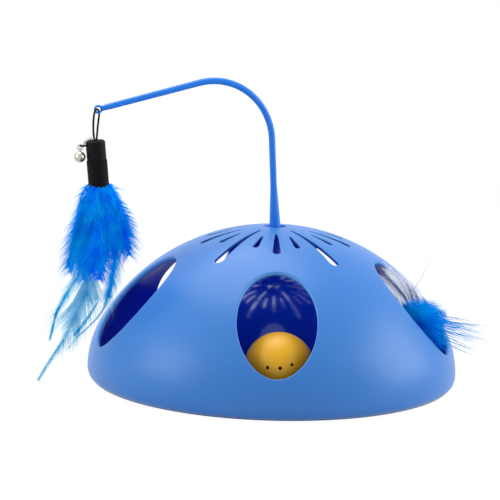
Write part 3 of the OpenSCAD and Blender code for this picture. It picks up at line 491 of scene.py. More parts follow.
class DomeOutline:
    """Outline of the dome by the length along it from the crown: crown, side and drawn-in foot."""

    def __init__(self, sizes, sink=0.0):
        self.sink = sink
        width, side = sizes.dome_d / 2, sizes.side_r
        waist = sizes.foot_gap + sizes.waist_h
        side_x = width - side
        drop = sizes.waist_h - sizes.dome_h
        crown = (side ** 2 - side_x ** 2 - drop ** 2) / (2 * (drop + side))
        crown_z = sizes.foot_gap + sizes.dome_h - crown
        foot = (sizes.edge_inset ** 2 + sizes.waist_h ** 2) / (2 * sizes.edge_inset)
        self.join = math.atan2(side_x, waist - crown_z)
        crown_end = crown * self.join
        side_end = crown_end + side * (math.pi / 2 - self.join)
        self.length = side_end + foot * math.asin(sizes.waist_h / foot)
        # Each arc: its middle's radius and height, its own radius, and the angle and length where it starts.
        self.arcs = ((0, crown_z, crown, 0, 0), (side_x, waist, side, self.join, crown_end),
                     (width - foot, waist, foot, math.pi / 2, side_end))

    def at(self, along, sink=None):
        """Radius and height at a length along the outside, sunk square to it."""
        sink = self.sink if sink is None else sink
        x, z, r, turn, start = next(part for part in reversed(self.arcs) if along >= part[4])
        a = turn + (along - start) / r
        return x + (r - sink) * math.sin(a), z + (r - sink) * math.cos(a)

    def seen_from_arc(self, point):
        """Radius, first angle and first length of the arc by a point, and the point from its middle."""
        r, z = math.hypot(point.x, point.y), point.z
        crown, side, foot = self.arcs
        below = foot if z <= side[1] else side
        part = crown if math.atan2(r, z - crown[1]) < self.join else below
        return *part[2:], r - part[0], z - part[1]

    def depth(self, point):
        """Depth of a point inside the sunk outline, negative outside."""
        radius, _, _, out, up = self.seen_from_arc(point)
        return radius - self.sink - math.hypot(out, up)

    def along(self, point):
        """Length along the outline of a point on it."""
        radius, turn, start, out, up = self.seen_from_arc(point)
        return start + radius * (math.atan2(out, up) - turn)

    def meet(self, point, way):
        """Where a line from outside, through a point, meets the outline. Found by halving a reach."""
        near, far = 60 * MM, -60 * MM
        halvings = 46
        for _ in range(halvings):
            middle = (near + far) / 2
            if self.depth(point + way * middle) < 0:
                near = middle
            else:
                far = middle
        return point + way * near

    def flat(self, point):
        """Place of a point when the dome is rolled out flat about its crown."""
        turn = math.atan2(point.y, point.x)
        far = self.along(point)
        return Vector((far * math.cos(turn), far * math.sin(turn)))

    def solid(self, flat):
        """Point on the dome of a place on the flat sheet."""
        turn = math.atan2(flat.y, flat.x)
        r, z = self.at(min(flat.length, self.length))
        return Vector((r * math.cos(turn), r * math.sin(turn), z))


# Slots of the crown as (inner end, outer end, width there), the width of their inner ends, and the crown's
# bore, in millimetres, with the number of paw holes and the height that slots are cut from.
SLOTS = {"middle": (22.5, 50.5, 5.2), "short": (27.7, 44.2, 4.0), "long": (16.0, 63.4, 6.0)}
SLOT_TIP = 1.6
CROWN_BORE = 7.0
HOLES = 5
CUT_HEIGHT = 90 * MM


def teardrop(r_in, r_out, w_in, w_out, grow, n=14, sides=10):
    """Slot with two round ends, grown by a distance, as (radius, across) points."""
    a, b = w_in / 2, w_out / 2
    slope = math.asin((b - a) / (r_out - b - r_in - a))
    outer = [-math.pi / 2 - slope + (math.pi + 2 * slope) * i / n for i in range(n + 1)]
    inner = [math.pi / 2 + slope + (math.pi - 2 * slope) * i / (n // 2) for i in range(n // 2 + 1)]
    points = [(r_out - b + (b + grow) * math.cos(t), (b + grow) * math.sin(t)) for t in outer]
    tip = [(r_in + a + (a + grow) * math.cos(t), (a + grow) * math.sin(t)) for t in inner]

    def straight(p, q):
        return [(p[0] + (q[0] - p[0]) * k / sides, p[1] + (q[1] - p[1]) * k / sides) for k in range(1, sides)]

    return points + straight(points[-1], tip[0]) + tip + straight(tip[-1], points[0])


def oval(middle, along, across, steps):
    turns = [math.tau * i / steps for i in range(steps)]
    return [middle + along * math.cos(a) + across * math.sin(a) for a in turns]


def dome_openings(sizes):
    """Every opening as (lip, flare, cutting direction, function from growth to an outline over the dome)."""
    found = []
    first = -math.pi / 2 + sizes.hole_turn
    outline = DomeOutline(sizes)
    (_, crown_z, crown, _, _), (side_x, waist, side_r, _, _), _ = outline.arcs
    height = sizes.foot_gap + sizes.hole_h
    level = math.sqrt(crown ** 2 - (height - crown_z) ** 2)
    if math.atan2(level, height - crown_z) > outline.join:
        level = side_x + math.sqrt(side_r ** 2 - (height - waist) ** 2)
    for k in range(HOLES):
        turn = Matrix.Rotation(first + math.tau * k / HOLES, 3, "Z")
        way = turn @ Vector((math.cos(sizes.hole_tilt), 0, math.sin(sizes.hole_tilt)))
        down = turn @ Vector((math.sin(sizes.hole_tilt), 0, -math.cos(sizes.hole_tilt)))
        side = turn @ Vector((0, 1, 0))
        middle = turn @ Vector((level, 0, height))

        def hole(grow, middle=middle, down=down, side=side):
            return oval(middle, down * (sizes.hole_l / 2 + grow), side * (sizes.hole_w / 2 + grow), 120)

        found.append((sizes.hole_lip, 0.0, way, hole))
        for part, kind in enumerate(("middle", "short", "long", "short")):
            ends = [v * MM for v in SLOTS[kind]]
            spot = Matrix.Rotation(first + math.tau * (k + part / 4) / HOLES, 3, "Z")

            def slot(grow, ends=ends, spot=spot):
                points = teardrop(*ends[:2], SLOT_TIP * MM, ends[2], grow)
                return [spot @ Vector((x, y, CUT_HEIGHT)) for x, y in points]

            found.append((sizes.slot_lip, sizes.slot_flare, UP, slot))

    def bore(grow):
        r = CROWN_BORE * MM + grow
        return oval(UP * CUT_HEIGHT, Vector((r, 0, 0)), Vector((0, r, 0)), 64)

    found.append((sizes.slot_lip, 0.0, UP, bore))
    return found


def inside(point, loop):
    """Does a place on the flat sheet lie inside a loop?"""
    hit = False
    x, y = point
    for (x1, y1), (x2, y2) in zip(loop, loop[1:] + loop[:1]):
        if (y1 > y) != (y2 > y) and x < (x2 - x1) * (y - y1) / (y2 - y1) + x1:
            hit = not hit
    return hit


def perforated_sheet(bm, outline, loops, rim, spacing):
    """One skin of the dome without its openings. Gives back the vertices along each opening and the rim."""
    boxes = []
    for loop in loops:
        xs, ys = zip(*loop)
        boxes.append((min(xs), min(ys), max(xs), max(ys)))
    margin = spacing * 0.45

    def in_opening(x, y, pad=0.0):
        for loop, (x0, y0, x1, y1) in zip(loops, boxes):
            if x0 - pad <= x <= x1 + pad and y0 - pad <= y <= y1 + pad:
                if inside((x, y), loop):
                    return True
                if pad and any(abs(p[0] - x) < pad and abs(p[1] - y) < pad for p in loop):
                    return True
        return False

    places, edges, starts = [], [], []
    for loop in loops + [rim]:
        starts.append((len(places), len(loop)))
        edges += [(len(places) + i, len(places) + (i + 1) % len(loop)) for i in range(len(loop))]
        places += [Vector(p) for p in loop]
    rings = int(outline.length / spacing)
    for k in range(1, rings):
        far = outline.length * k / rings
        count = max(6, int(math.tau * far / spacing))
        for i in range(count):
            a = math.tau * (i + 0.5 * (k % 2)) / count
            x, y = far * math.cos(a), far * math.sin(a)
            if not in_opening(x, y, margin):
                places.append(Vector((x, y)))
    flat, _, faces, origins, _, _ = delaunay_2d_cdt(places, edges, [], 0, 1e-9)
    verts = [bm.verts.new(outline.solid(p)) for p in flat]
    by_input = {i: verts[k] for k, ids in enumerate(origins) for i in ids}
    for f in faces:
        middle = sum((flat[i] for i in f), Vector((0, 0))) / len(f)
        if not in_opening(middle.x, middle.y):
            bm.faces.new([verts[i] for i in f])
    return [[by_input[first + i] for i in range(count)] for first, count in starts]


def bent(start, pull, end, n=12):
    """Points of a curve from start to end, drawn towards pull."""
    steps = [i / n for i in range(n + 1)]
    return [start * (1 - t) ** 2 + pull * 2 * t * (1 - t) + end * t * t for t in steps]


# Painted light of a lip's rows, from the dome's outside to its inside: 1 is the lip colour's painted
# highlight, -1 the inside colour's painted shade.
HOLE_PAINTED_LIGHT = (0.0, 0.0, 0.2, 0.9, 0.6, 0.1, 0.0, -0.3, -0.6, -1.0)
SLOT_PAINTED_LIGHT = (0.0, 0.0, 0.2, 0.9, 0.4, -0.8, -0.9, -1.0, -1.0, -1.0)
INNER_LIP = 0.4
RIM_STEPS = 240


def dome_mesh(sizes):
    """Dome cover with rounded lips round its holes and slots."""
    bm = bmesh.new()
    # Each vertex holds its painted light: above 0 a painted highlight of the lip colour, below 0 painted
    # shade of the inside colour.
    painted_light = bm.verts.layers.float.new("painted_light")
    openings = dome_openings(sizes)
    skins = []
    for sink, grow, spread, spacing in ((0.0, 1.0, 0, 3.2), (sizes.dome_wall, INNER_LIP, 1, 5.0)):
        outline = DomeOutline(sizes, sink)
        corners, lips = (
            [[outline.meet(p, way) for p in shape(lip * share + flare * spread)]
             for lip, flare, way, shape in openings]
            for share in (0, grow))
        flat = [[tuple(outline.flat(p)) for p in lip] for lip in lips]
        steps = [math.tau * i / RIM_STEPS for i in range(RIM_STEPS)]
        rim = [(outline.length * math.cos(a), outline.length * math.sin(a)) for a in steps]
        made = len(bm.verts)
        loops = perforated_sheet(bm, outline, flat, rim, spacing * MM)
        bm.verts.ensure_lookup_table()
        # The inner skin gets full painted shade, the outer skin none.
        for vert in bm.verts[made:]:
            vert[painted_light] = -spread
        skins.append((corners, lips, loops))
    for k, (lip, flare, way, _) in enumerate(openings):
        (outer, outer_lip, first), (inner, inner_lip, last) = [[part[k] for part in skin] for skin in skins]
        outside = [bent(s, c, c - way * lip, 4)[1:] for c, s in zip(outer, outer_lip)]
        within = [bent(c + way * lip * INNER_LIP, c, s, 4)[:-1] for c, s in zip(inner, inner_lip)]
        rows = [[bm.verts.new(p) for p in row] for row in (*zip(*outside), *zip(*within))]
        rows = [first, *rows, last]
        # Each row round an opening gets its share of painted highlight or painted shade.
        for row, pale in zip(rows, SLOT_PAINTED_LIGHT if flare else HOLE_PAINTED_LIGHT):
            for vert in row:
                vert[painted_light] = pale
        for low, high in zip(rows, rows[1:]):
            bridge(bm, low, high)
    bridge(bm, skins[0][2][-1], skins[1][2][-1])
    bmesh.ops.recalc_face_normals(bm, faces=bm.faces)
    return bm


# Feathers


# How much quills and barbs taper, and how soon along a barb its tint is that of its tip.
TAPER = 0.75
TINT_RUN = 1.3


class Feather:
    """Maker of quills with barbs on both sides, all in one bmesh."""

    def __init__(self, rng):
        self.bm = bmesh.new()
        self.rng = rng
        self.tint = self.bm.loops.layers.float.new("tint")

    def paint(self, face, tints):
        for loop, tint in zip(face.loops, tints):
            loop[self.tint] = min(1.0, max(0.0, tint))

    def quill(self, route, radius, tint):
        count = len(route)
        before = set(self.bm.faces)
        swept(route, [radius * (1 - TAPER * i / (count - 1)) for i in range(count)], 5, self.bm)
        for face in set(self.bm.faces) - before:
            self.paint(face, [tint] * len(face.loops))

    def barb(self, root, way, along, lift, width, rows, tints):
        """Flat tapering strand from its root, drooping along the quill and lifting off the vane."""

        def tone(t):
            return tints[0] + (tints[1] - tints[0]) * min(1, t * TINT_RUN)

        across = along.normalized() if along.length > 1e-9 else way.orthogonal().normalized()
        pairs = []
        for k in range(rows):
            t = k / rows
            centre = root + way * t + along * t * t + lift * t * t
            half = width * (1 - TAPER * t) / 2
            ends = [self.bm.verts.new(centre + across * far) for far in (-half, half)]
            pairs.append((*ends, t))
        tip = self.bm.verts.new(root + way + along + lift)
        for (a, b, t), (c, d, u) in zip(pairs, pairs[1:]):
            self.paint(self.bm.faces.new((a, b, d, c)), [tone(t), tone(t), tone(u), tone(u)])
        a, b, t = pairs[-1]
        self.paint(self.bm.faces.new((a, b, tip)), [tone(t), tone(t), tints[1]])

    def grow(self, route, face, vane, barbs, slant, width, tints, quill_r, curl, rough, rows=3, bare=0.06):
        """Whole feather: a quill along the route, with barbs as long as vane says by place and hand."""
        rng = self.rng
        self.quill(route, quill_r, tints[0])
        last = len(route) - 1
        for i in range(barbs):
            t = bare + (1 - bare) * (i + rng.random() * 0.8) / barbs
            spot = t * last
            low = min(int(spot), last - 1)
            root = route[low].lerp(route[low + 1], spot - low)
            along = (route[low + 1] - route[low]).normalized()
            side = along.cross(face).normalized()
            for hand in (-1, 1):
                reach = vane(t, hand) * rng.uniform(1 - rough, 1 + rough * 0.6)
                if reach < width * 0.6:
                    continue
                lean = slant * rng.uniform(0.85, 1.2)
                way = side * hand * reach + along * reach * lean * 0.5
                sweep = along * reach * lean * rng.uniform(0.5, 0.9)
                lift = side.cross(along) * reach * curl * rng.uniform(-1, 1)
                tone = rng.uniform(-0.15, 0.15)
                wide = width * rng.uniform(0.7, 1.2)
                self.barb(root, way, sweep, lift, wide, rows, (tints[0] + tone, tints[1] + tone))


def through(points, n=5):
    """Smooth curve through points, with n steps from each to the next."""
    line = []
    ends = [points[0] * 2 - points[1], *points, points[-1] * 2 - points[-2]]
    for p, a, b, q in zip(ends, ends[1:], ends[2:], ends[3:]):
        for t in (i / n for i in range(n)):
            pull = (b - p) * t + (p * 2 - a * 5 + b * 4 - q) * t * t + (a * 3 - p - b * 3 + q) * t ** 3
            line.append(a + pull / 2)
    return line + [points[-1]]


def from_knot(out, across, up):
    """Point in the teaser's own tilted frame, in millimetres from the knot."""
    return KNOT + (TEASER_OUT * out + ACROSS * across + TEASER_UP * up) * MM


def under_knot(out, across, up):
    """Point in the wand's upright frame, in millimetres from the knot."""
    return KNOT + (OUT * out + ACROSS * across + UP * up) * MM


# Operators


class CATTOY_OT_camera(bpy.types.Operator):
    """Camera at the toy's usual three-quarter height in front"""

    bl_idname = "cattoy.camera"
    bl_label = "Camera"

    def execute(self, context):
        lens = bpy.data.cameras.new("camera")
        lens.lens = context.scene.toy_stage.lens
        lens.sensor_width = 36
        camera = bpy.data.objects.new("camera", lens)
        context.scene.collection.objects.link(camera)
        spot, aim = Vector((0, -1.17856, 0.27781)), Vector((-0.01597, 0, 0.0851))
        roll = math.radians(1.534)
        way = (aim - spot).normalized()
        level = way.cross(UP).normalized()
        right = level * math.cos(roll) + level.cross(way) * math.sin(roll)
        turn = Matrix((right, right.cross(way), -way)).transposed()
        camera.matrix_world = Matrix.Translation(spot) @ turn.to_4x4()
        context.scene.camera = camera
        return {"FINISHED"}


# Cord loop as (outwards, across, up) points from the eyelet, in millimetres.
CORD_ROUTE = (
    (1.75, 0.65, -20.6), (2.1, 0.8, -19.6), (2.5, 0.9, -18.4), (3.1, 1.2, -15), (3.4, 1.6, -11),
    (3.4, 1.9, -7), (3.1, 2, -3.4), (2.4, 1.8, -0.8), (1.2, 1.2, 0.1), (0.3, 0, -0.2), (-0.5, -1.2, -0.9),
    (-1.1, -1.9, -2.6), (-0.9, -1.9, -5.7), (-0.2, -1.5, -11), (0.2, -1.1, -15), (0.6, -0.8, -18.4),
    (1.05, -0.65, -20.6),
)


class CATTOY_OT_cord(bpy.types.Operator):
    """Cord loop through the eyelet, and its knot in the cap"""

    bl_idname = "cattoy.cord"
    bl_label = "Cord loop"

    def execute(self, context):
        braid = braided("cord_braid", context.scene.toy_colours.cord)
        points = [EYELET + (OUT * s + ACROSS * t + UP * z) * MM for s, t, z in CORD_ROUTE]
        curve = bpy.data.curves.new("cord_loop", "CURVE")
        curve.dimensions = "3D"
        curve.bevel_depth = context.scene.toy_sizes.cord_d / 2
        curve.bevel_resolution = 4
        curve.resolution_u = 6
        curve.use_fill_caps = True
        spline = curve.splines.new("BEZIER")
        spline.bezier_points.add(len(points) - 1)
        for spot, point in zip(spline.bezier_points, points):
            spot.co = point
            spot.handle_left_type = spot.handle_right_type = "AUTO"
        cord = bpy.data.objects.new("cord_loop", curve)
        context.scene.collection.objects.link(cord)
        finish_piece(cord, braid, "loop", "black_cord", "teaser_cord")
        dress(braid, "cord_knot")
        return {"FINISHED"}


class CATTOY_OT_dome(bpy.types.Operator):
    """Dome cover with paw holes and a rosette of slots"""

    bl_idname = "cattoy.dome"
    bl_label = "Dome cover"

    def execute(self, context):
        look = context.scene.toy_colours
        dome = new_object("dome_shell", dome_mesh(context.scene.toy_sizes))
        satin = plastic("dome_satin_blue", look.dome, roughness=0.36, clouding=0.04, grain=0.5, depth=0.012,
                        specular=0.3)
        tree = satin.node_tree
        # Painted highlight on the lips and painted shade on the inner skin and slot walls, mixed into the
        # dome's colour by the vertex attribute of painted light.
        painted_light = node(tree, "ShaderNodeAttribute", (-1300, 260), attribute_name="painted_light").outputs["Fac"]
        painted_shade_share = maths(tree, "MULTIPLY", (-1060, 60), painted_light, -1)
        pale = mixed(tree, (-1060, 300), painted_light, rgba(look.dome), rgba(look.lip))
        deep = mixed(tree, (-820, 260), painted_shade_share, pale, rgba(look.inside))
        feed(next(part for part in tree.nodes if part.type == "GROUP"), {"Colour": deep})
        finish_piece(dome, satin, "base", "dome_blue", "dome_cover")
        return {"FINISHED"}


class CATTOY_OT_spinner(bpy.types.Operator):
    """Glossy spinner dome with the wand socket on its crown"""

    bl_idname = "cattoy.spinner"
    bl_label = "Spinner dome"

    def execute(self, context):
        look = context.scene.toy_colours
        low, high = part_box("spinner_dome")
        r = (high.x - low.x) / 2 / MM
        edge, top = low.z / MM, high.z / MM
        crown, wall = 70.6, 2.2
        bore, neck, boss, shaft, screw = 3.05, 5.5, 6.0, 2.6, 1.4
        boss_end, shaft_end, bore_end = 47.6, 62.5, 65.5

        def from_level(across, radius):
            return 90 - math.degrees(math.asin(across / radius))

        profile = [(bore, top - 29), (bore, top - 0.4), (bore + 0.35, top), (neck - 0.4, top),
                   (neck, top - 0.4), (neck, crown + 1.6), (neck + 0.4, crown + 0.4),
                   (neck + 1.5, crown - 0.4)]
        profile += arc(crown - r, r, from_level(neck + 2.1, r), 0, 64)
        profile += [(r, edge + 0.6), (r - 0.4, edge), (r - wall + 0.4, edge), (r - wall, edge + 0.6)]
        profile += arc(crown - r, r - wall, 0, from_level(boss + 0.1, r - wall), 48)
        profile += [(boss, boss_end), (shaft, boss_end), (shaft, shaft_end), (screw, shaft_end),
                    (screw, bore_end), (bore, bore_end)]
        spinner = new_object("spinner_shell", spun(profile, 160, closed=True))
        finish_piece(spinner, spinner_gloss(look), "spinner", "spinner_blue", "spinner_dome")
        dress(spinner_gloss(look), "side_socket")
        return {"FINISHED"}


class CATTOY_OT_wand(bpy.types.Operator):
    """Wand: plug, collar, flared foot, upright, bend, arm and eyelet"""

    bl_idname = "cattoy.wand"
    bl_label = "Wand"

    def execute(self, context):
        look = context.scene.toy_colours
        lean, rise, bend, drop, arm_l = math.radians(3.8), 59.8, 40.0, math.radians(10.4), 67.3
        turn = math.pi / 2 + drop
        foot, foot_r, flare_l = 98.0, 3.8, 30
        plug_r, plug_end, collar_r, collar_low, collar_top = 3.0, 67.5, 4.7, 96.0, 98.6
        eye_r, wire, eye_sink, tip_r, last_r = 2.125, 0.675, 0.2, 1.9, 1.7
        bend_steps, arm_steps = 40, 12

        def place(out, up):
            s = out * math.cos(lean) + up * math.sin(lean)
            return (OUT * s + UP * (foot - out * math.sin(lean) + up * math.cos(lean))) * MM

        half = context.scene.toy_sizes.wand_d / 2
        route, radii = [], []
        for up in (0, 1, 4, 8, 12, 16, 20, 24, 27, 30, 33, 38, 44, 50, 56):
            route.append(place(0, up))
            t = min(1.0, up / flare_l)
            radii.append(foot_r * MM * (1 - t) + half * t)
        for i in range(bend_steps + 1):
            a = turn * i / bend_steps
            route.append(place(bend - bend * math.cos(a), rise + bend * math.sin(a)))
            radii.append(half)
        end = (bend - bend * math.cos(turn), rise + bend * math.sin(turn))
        for i in range(1, arm_steps + 1):
            t = i / arm_steps
            far = (arm_l - eye_r - eye_sink) * i / arm_steps
            route.append(place(end[0] + far * math.sin(turn), end[1] + far * math.cos(turn)))
            radii.append(half * (1 - t) + (tip_r if i < arm_steps else last_r) * MM * t)
        bm = swept(route, radii, sides=24)
        ring_into(bm, EYELET, ACROSS, eye_r, wire, steps=40, sides=14)
        for r, z0, z1 in ((plug_r, plug_end, collar_low), (collar_r, collar_low, collar_top)):
            bar = bmesh.ops.create_cone(
                bm, cap_ends=True, segments=40, radius1=r * MM, radius2=r * MM, depth=(z1 - z0) * MM,
                matrix=Matrix.Translation((0, 0, (z0 + z1) / 2 * MM)))
            rim = {e for v in bar["verts"] for e in v.link_edges if len(e.link_faces) == 2
                   and e.calc_face_angle() > 1}
            bmesh.ops.bevel(bm, geom=list(rim), offset=0.5 * MM, offset_type="OFFSET", segments=3,
                            profile=0.5, affect="EDGES", material=-1, clamp_overlap=True)
        # The plug and collar, below the collar's top, take the spinner's deep blue as painted shade for the
        # dark gap round the wand's foot in the crown's bore.
        for face in bm.faces:
            face.material_index = int(face.calc_center_median().z < collar_top * MM)
        wand = new_object("wand_rod", bm)
        smooth_by_angle(wand, 40)
        satin = plastic("wand_satin_blue", look.wand, roughness=0.38, clouding=0.05, grain=0.4, depth=0.003,
                        specular=0.3)
        finish_piece(wand, satin, "spinner", "wand_blue", "wand")
        # Second finish: the spinner's deep blue, painted shade on the plug and collar.
        wand.data.materials.append(spinner_gloss(look))
        return {"FINISHED"}


class CATTOY_OT_ball(bpy.types.Operator):
    """Hollow ball of two halves, with rings of small holes"""

    bl_idname = "cattoy.ball"
    bl_label = "Ball"

    def execute(self, context):
        low_u, high_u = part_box("ball_upper_half")
        low_l, high_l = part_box("ball_lower_half")
        centre = Vector([(min(low_u[i], low_l[i]) + max(high_u[i], high_l[i])) / 2 for i in range(3)])
        r = context.scene.toy_sizes.ball_d / 2 / MM
        wall, seam, seam_turn = 1.6, 0.25, 0.9
        hole_r, hole_rise, hole_pitch = 1.1, 40, 27
        roll, spin, tip = -8, -86.8, 29
        bm = spun(arc(0, r, 90, seam_turn, 40) + [(r - seam, 0)] + arc(0, r, -seam_turn, -90, 40), 96)
        hollow = spun(arc(0, r - wall, -90, 90, 36), 64)
        bmesh.ops.reverse_faces(hollow, faces=hollow.faces)
        spare = bpy.data.meshes.new("hollow")
        hollow.to_mesh(spare)
        hollow.free()
        bm.from_mesh(spare)
        bpy.data.meshes.remove(spare)
        ball = new_object("ball_shell", bm)
        drill = bmesh.new()
        for hand, group, hole in itertools.product((1, -1), range(2), (-1, 0, 1)):
            way = turned("Z", 180 * group + hole_pitch * hole, 3) @ turned("Y", 90 - hand * hole_rise, 3) @ UP
            bmesh.ops.create_cone(drill, cap_ends=True, segments=20, radius1=hole_r * MM, radius2=hole_r * MM,
                                  depth=6 * MM, matrix=stood(way * (r - wall / 2) * MM, way))
        cut(ball, new_object("drill", drill))
        turn = turned("Y", roll) @ turned("Z", spin) @ turned("Y", tip)
        ball.data.transform(Matrix.Translation(centre) @ turn)
        smooth_by_angle(ball, 35)
        skin = plastic("ball_skin", context.scene.toy_colours.ball, roughness=0.42, clouding=0.05, grain=0.8,
                       depth=0.012, specular=0.4)
        finish_piece(ball, skin, "ball", "ball_yellow", "ball_upper_half", "ball_lower_half")
        return {"FINISHED"}


class CATTOY_OT_teaser(bpy.types.Operator):
    """Finishes of the teaser's cap and tube"""

    bl_idname = "cattoy.teaser"
    bl_label = "Teaser cap and tube"

    def execute(self, context):
        black = context.scene.toy_colours.black
        moulding = plastic("black_moulding", black, roughness=0.5, clouding=0.2, grain=0.4, depth=0.03,
                           specular=0.1)
        sleeve = plastic("black_sleeve", black, roughness=0.6, clouding=0.25, grain=0.7, depth=0.05,
                         specular=0.08)
        dress(moulding, "teaser_cap", "side_feather_sleeve", "switch_body", "switch_knob")
        dress(sleeve, "teaser_tube")
        return {"FINISHED"}


TUBE_END = -26.2
GOLDEN_TURN = 0.381966
# Lower locks of the fluff: quills as (outwards, across, up) points under the knot, and half widths.
LOCKS = (
    ((3, 6, -34), (12, 7, -60), (17, 6, -79), 8.5), ((1, 8, -38), (7, 10, -66), (9, 9, -83), 9),
    ((-4, 8, -38), (-5, 11, -66), (-1, 10, -83), 9), ((-9, 5, -36), (-19, 7, -55), (-21, 6, -69), 8.5),
    ((-9, 8, -44), (-13, 9, -68), (-8, 6, -95), 6), ((4, -2, -34), (13, -3, -58), (16, -2, -77), 8),
    ((-8, -3, -34), (-18, -4, -54), (-22, -4, -66), 8), ((4, 4, -30), (12, 5, -46), (14, 5, -62), 7),
    ((-8, 4, -30), (-18, 5, -44), (-21, 5, -57), 7), ((-2, 10, -40), (2, 13, -60), (5, 12, -78), 8),
)


class CATTOY_OT_fluff(bpy.types.Operator):
    """Bundle of soft feathers under the teaser's tube"""

    bl_idname = "cattoy.fluff"
    bl_label = "Teaser fluff"

    def execute(self, context):
        look, feathers = context.scene.toy_colours, context.scene.toy_feathers
        rng = random.Random(11)
        maker = Feather(rng)

        def feather(route, face, wide, barbs, bare, lift, dim):
            """Feather whose quill is paler by lift, and its tips deeper by dim."""

            def vane(t, hand):
                place = min(1, max(0, (t - 0.08) / 0.96))
                return wide * (0.25 + 0.75 * math.sin(math.pi * place ** 0.7) ** 0.6) * MM

            maker.grow(route, face, vane, barbs, slant=rng.uniform(0.8, 1.9),
                       width=rng.uniform(0.5, 0.9) * MM,
                       tints=(rng.uniform(-0.2, 0.4) + lift, rng.uniform(0.9, 1.3) - dim),
                       quill_r=0.28 * MM, curl=0.45, rough=0.5, bare=bare)

        for i in range(feathers.fluff_count):
            turn = math.tau * (i * GOLDEN_TURN + rng.uniform(-0.04, 0.04))
            c, s = math.cos(turn), math.sin(turn)
            face = (TEASER_OUT * c + ACROSS * (s + 0.4) + TEASER_UP * 0.2).normalized()
            # Every fourth feather is a short one that flares out round the tube's end.
            if i % 4 == 3:
                flare = 1.35 if c > 0 else 1.1
                route = bent(from_knot(4.2 * c, 4.2 * s, TUBE_END + 3),
                             from_knot(10 * c * flare, 9 * s, TUBE_END - 1),
                             from_knot(12 * c * flare, 11 * s, TUBE_END - rng.uniform(18, 26)))
                feather(route, face, rng.uniform(5, 7), feathers.barbs // 2, 0.1, 0.0, 0.5 * (1 - abs(c)))
                continue
            # The others hang from the tube and spread, with deeper colours towards the bundle's middle and
            # paler ones at its sides; the extra paleness at the sides is painted light that stands in for
            # light shining through the thin barbs.
            share = math.sqrt(rng.uniform(0.08, 1.0))
            out = (18 if c > 0 else 20) * c * share
            low = -(71 + 7 * c + rng.uniform(-5, 5))
            route = bent(from_knot(3.5 * c, 3.5 * s, TUBE_END + 5),
                         under_knot(-4.5 + out * 0.9, 15 * s * share, -42),
                         under_knot(-3.5 + out, 14 * s * share, low))
            edge = abs(c) * share
            feather(route, face, rng.uniform(8, 11), feathers.barbs, 0.1, 0.3 * edge, 0.6 * (1 - edge))
        # Narrow locks and those far to the sides are paler: painted light, as at the bundle's sides.
        for start, pull, end, wide in LOCKS:
            face = (ACROSS + OUT * rng.uniform(-0.4, 0.4)).normalized()
            edge = 1.0 if wide < 7 else min(1, abs(end[0] + 3) / 16)
            route = bent(under_knot(*start), under_knot(*pull), under_knot(*end))
            feather(route, face, wide, feathers.barbs, 0.05, 0.35 * edge, 0.6 * (1 - edge))
        fluff = new_object("teaser_down", maker.bm)
        finish_piece(fluff, feather_material("feather_down", look.feather_deep, look.feather_pale),
                     "teaser", "feather_blue", "teaser_fluff")
        return {"FINISHED"}


# Quills of the plumes as (outwards, up) points under the knot, in millimetres.
QUILLS = {
    "long": ((1.5, -56.6), (4.2, -79), (4.4, -88.7), (6.2, -96.5), (10.7, -105.1), (14.1, -112.9),
             (20.9, -125.2), (29.3, -137.9), (35, -147.6)),
    "outer": ((5.3, -62.8), (10.4, -80.4), (16.6, -89.5), (21.2, -97.9), (24.5, -104), (25.6, -107.3),
              (27.2, -114.7), (28.8, -121.5)),
    "inner": ((-14.1, -66.5), (-10.9, -83.6), (-8, -93.8), (-6, -101.5), (-0.8, -109), (7.2, -116.7),
              (11.7, -120.5), (16.8, -127.2)),
    "tip": ((-2.2, -98.8), (3.8, -108.2), (9.5, -115.5), (13, -120.4)),
    "short": ((-2.5, -69.4), (-0.7, -82.1), (-1.8, -91.7), (-2.9, -98.8)),
}
# Each set of barbs: its quill and how far that lies across, how many barbs, their width and tints, and the
# vane as (place along the quill, reach inwards, reach outwards) rows. All lengths in millimetres.
PLUMES = (
    ("long", 0, 300, 0.9, (0.35, 0.85),
     ((0, 3, 3), (0.2, 9, 11), (0.38, 11, 13), (0.5, 10, 8), (0.62, 8, 4), (0.72, 5, 1.5), (0.8, 2.4, 1.2),
      (1, 1.2, 1))),
    ("outer", 4, 150, 0.8, (0.0, 0.3),
     ((0, 5, 4), (0.25, 4.5, 3), (0.45, 2, 1.6), (0.65, 1, 1), (0.85, 1.2, 1.2), (1, 0.7, 0.7))),
    ("outer", 3.5, 60, 0.28, (0.6, 1.0), ((0, 6, 9), (0.4, 6, 8), (0.7, 5, 8), (1, 1, 2))),
    ("inner", 5, 170, 0.7, (0.0, 0.25),
     ((0, 8, 7), (0.2, 4.5, 4), (0.36, 1.8, 1.6), (0.45, 0.7, 0.7), (1, 0.4, 0.4))),
    ("inner", 4.5, 80, 0.25, (0.7, 1.1), ((0, 9, 4), (0.3, 9, 5), (0.6, 6, 2), (1, 3, 1))),
    ("tip", 2.5, 60, 0.7, (0.0, 0.35), ((0, 0.5, 0.5), (0.4, 2.2, 1.8), (0.8, 1.8, 1.5), (1, 0.4, 0.4))),
    ("short", -3, 70, 0.8, (0.85, 1.0), ((0, 4, 5), (0.4, 6, 6), (0.8, 4, 4), (1, 1, 1))),
)


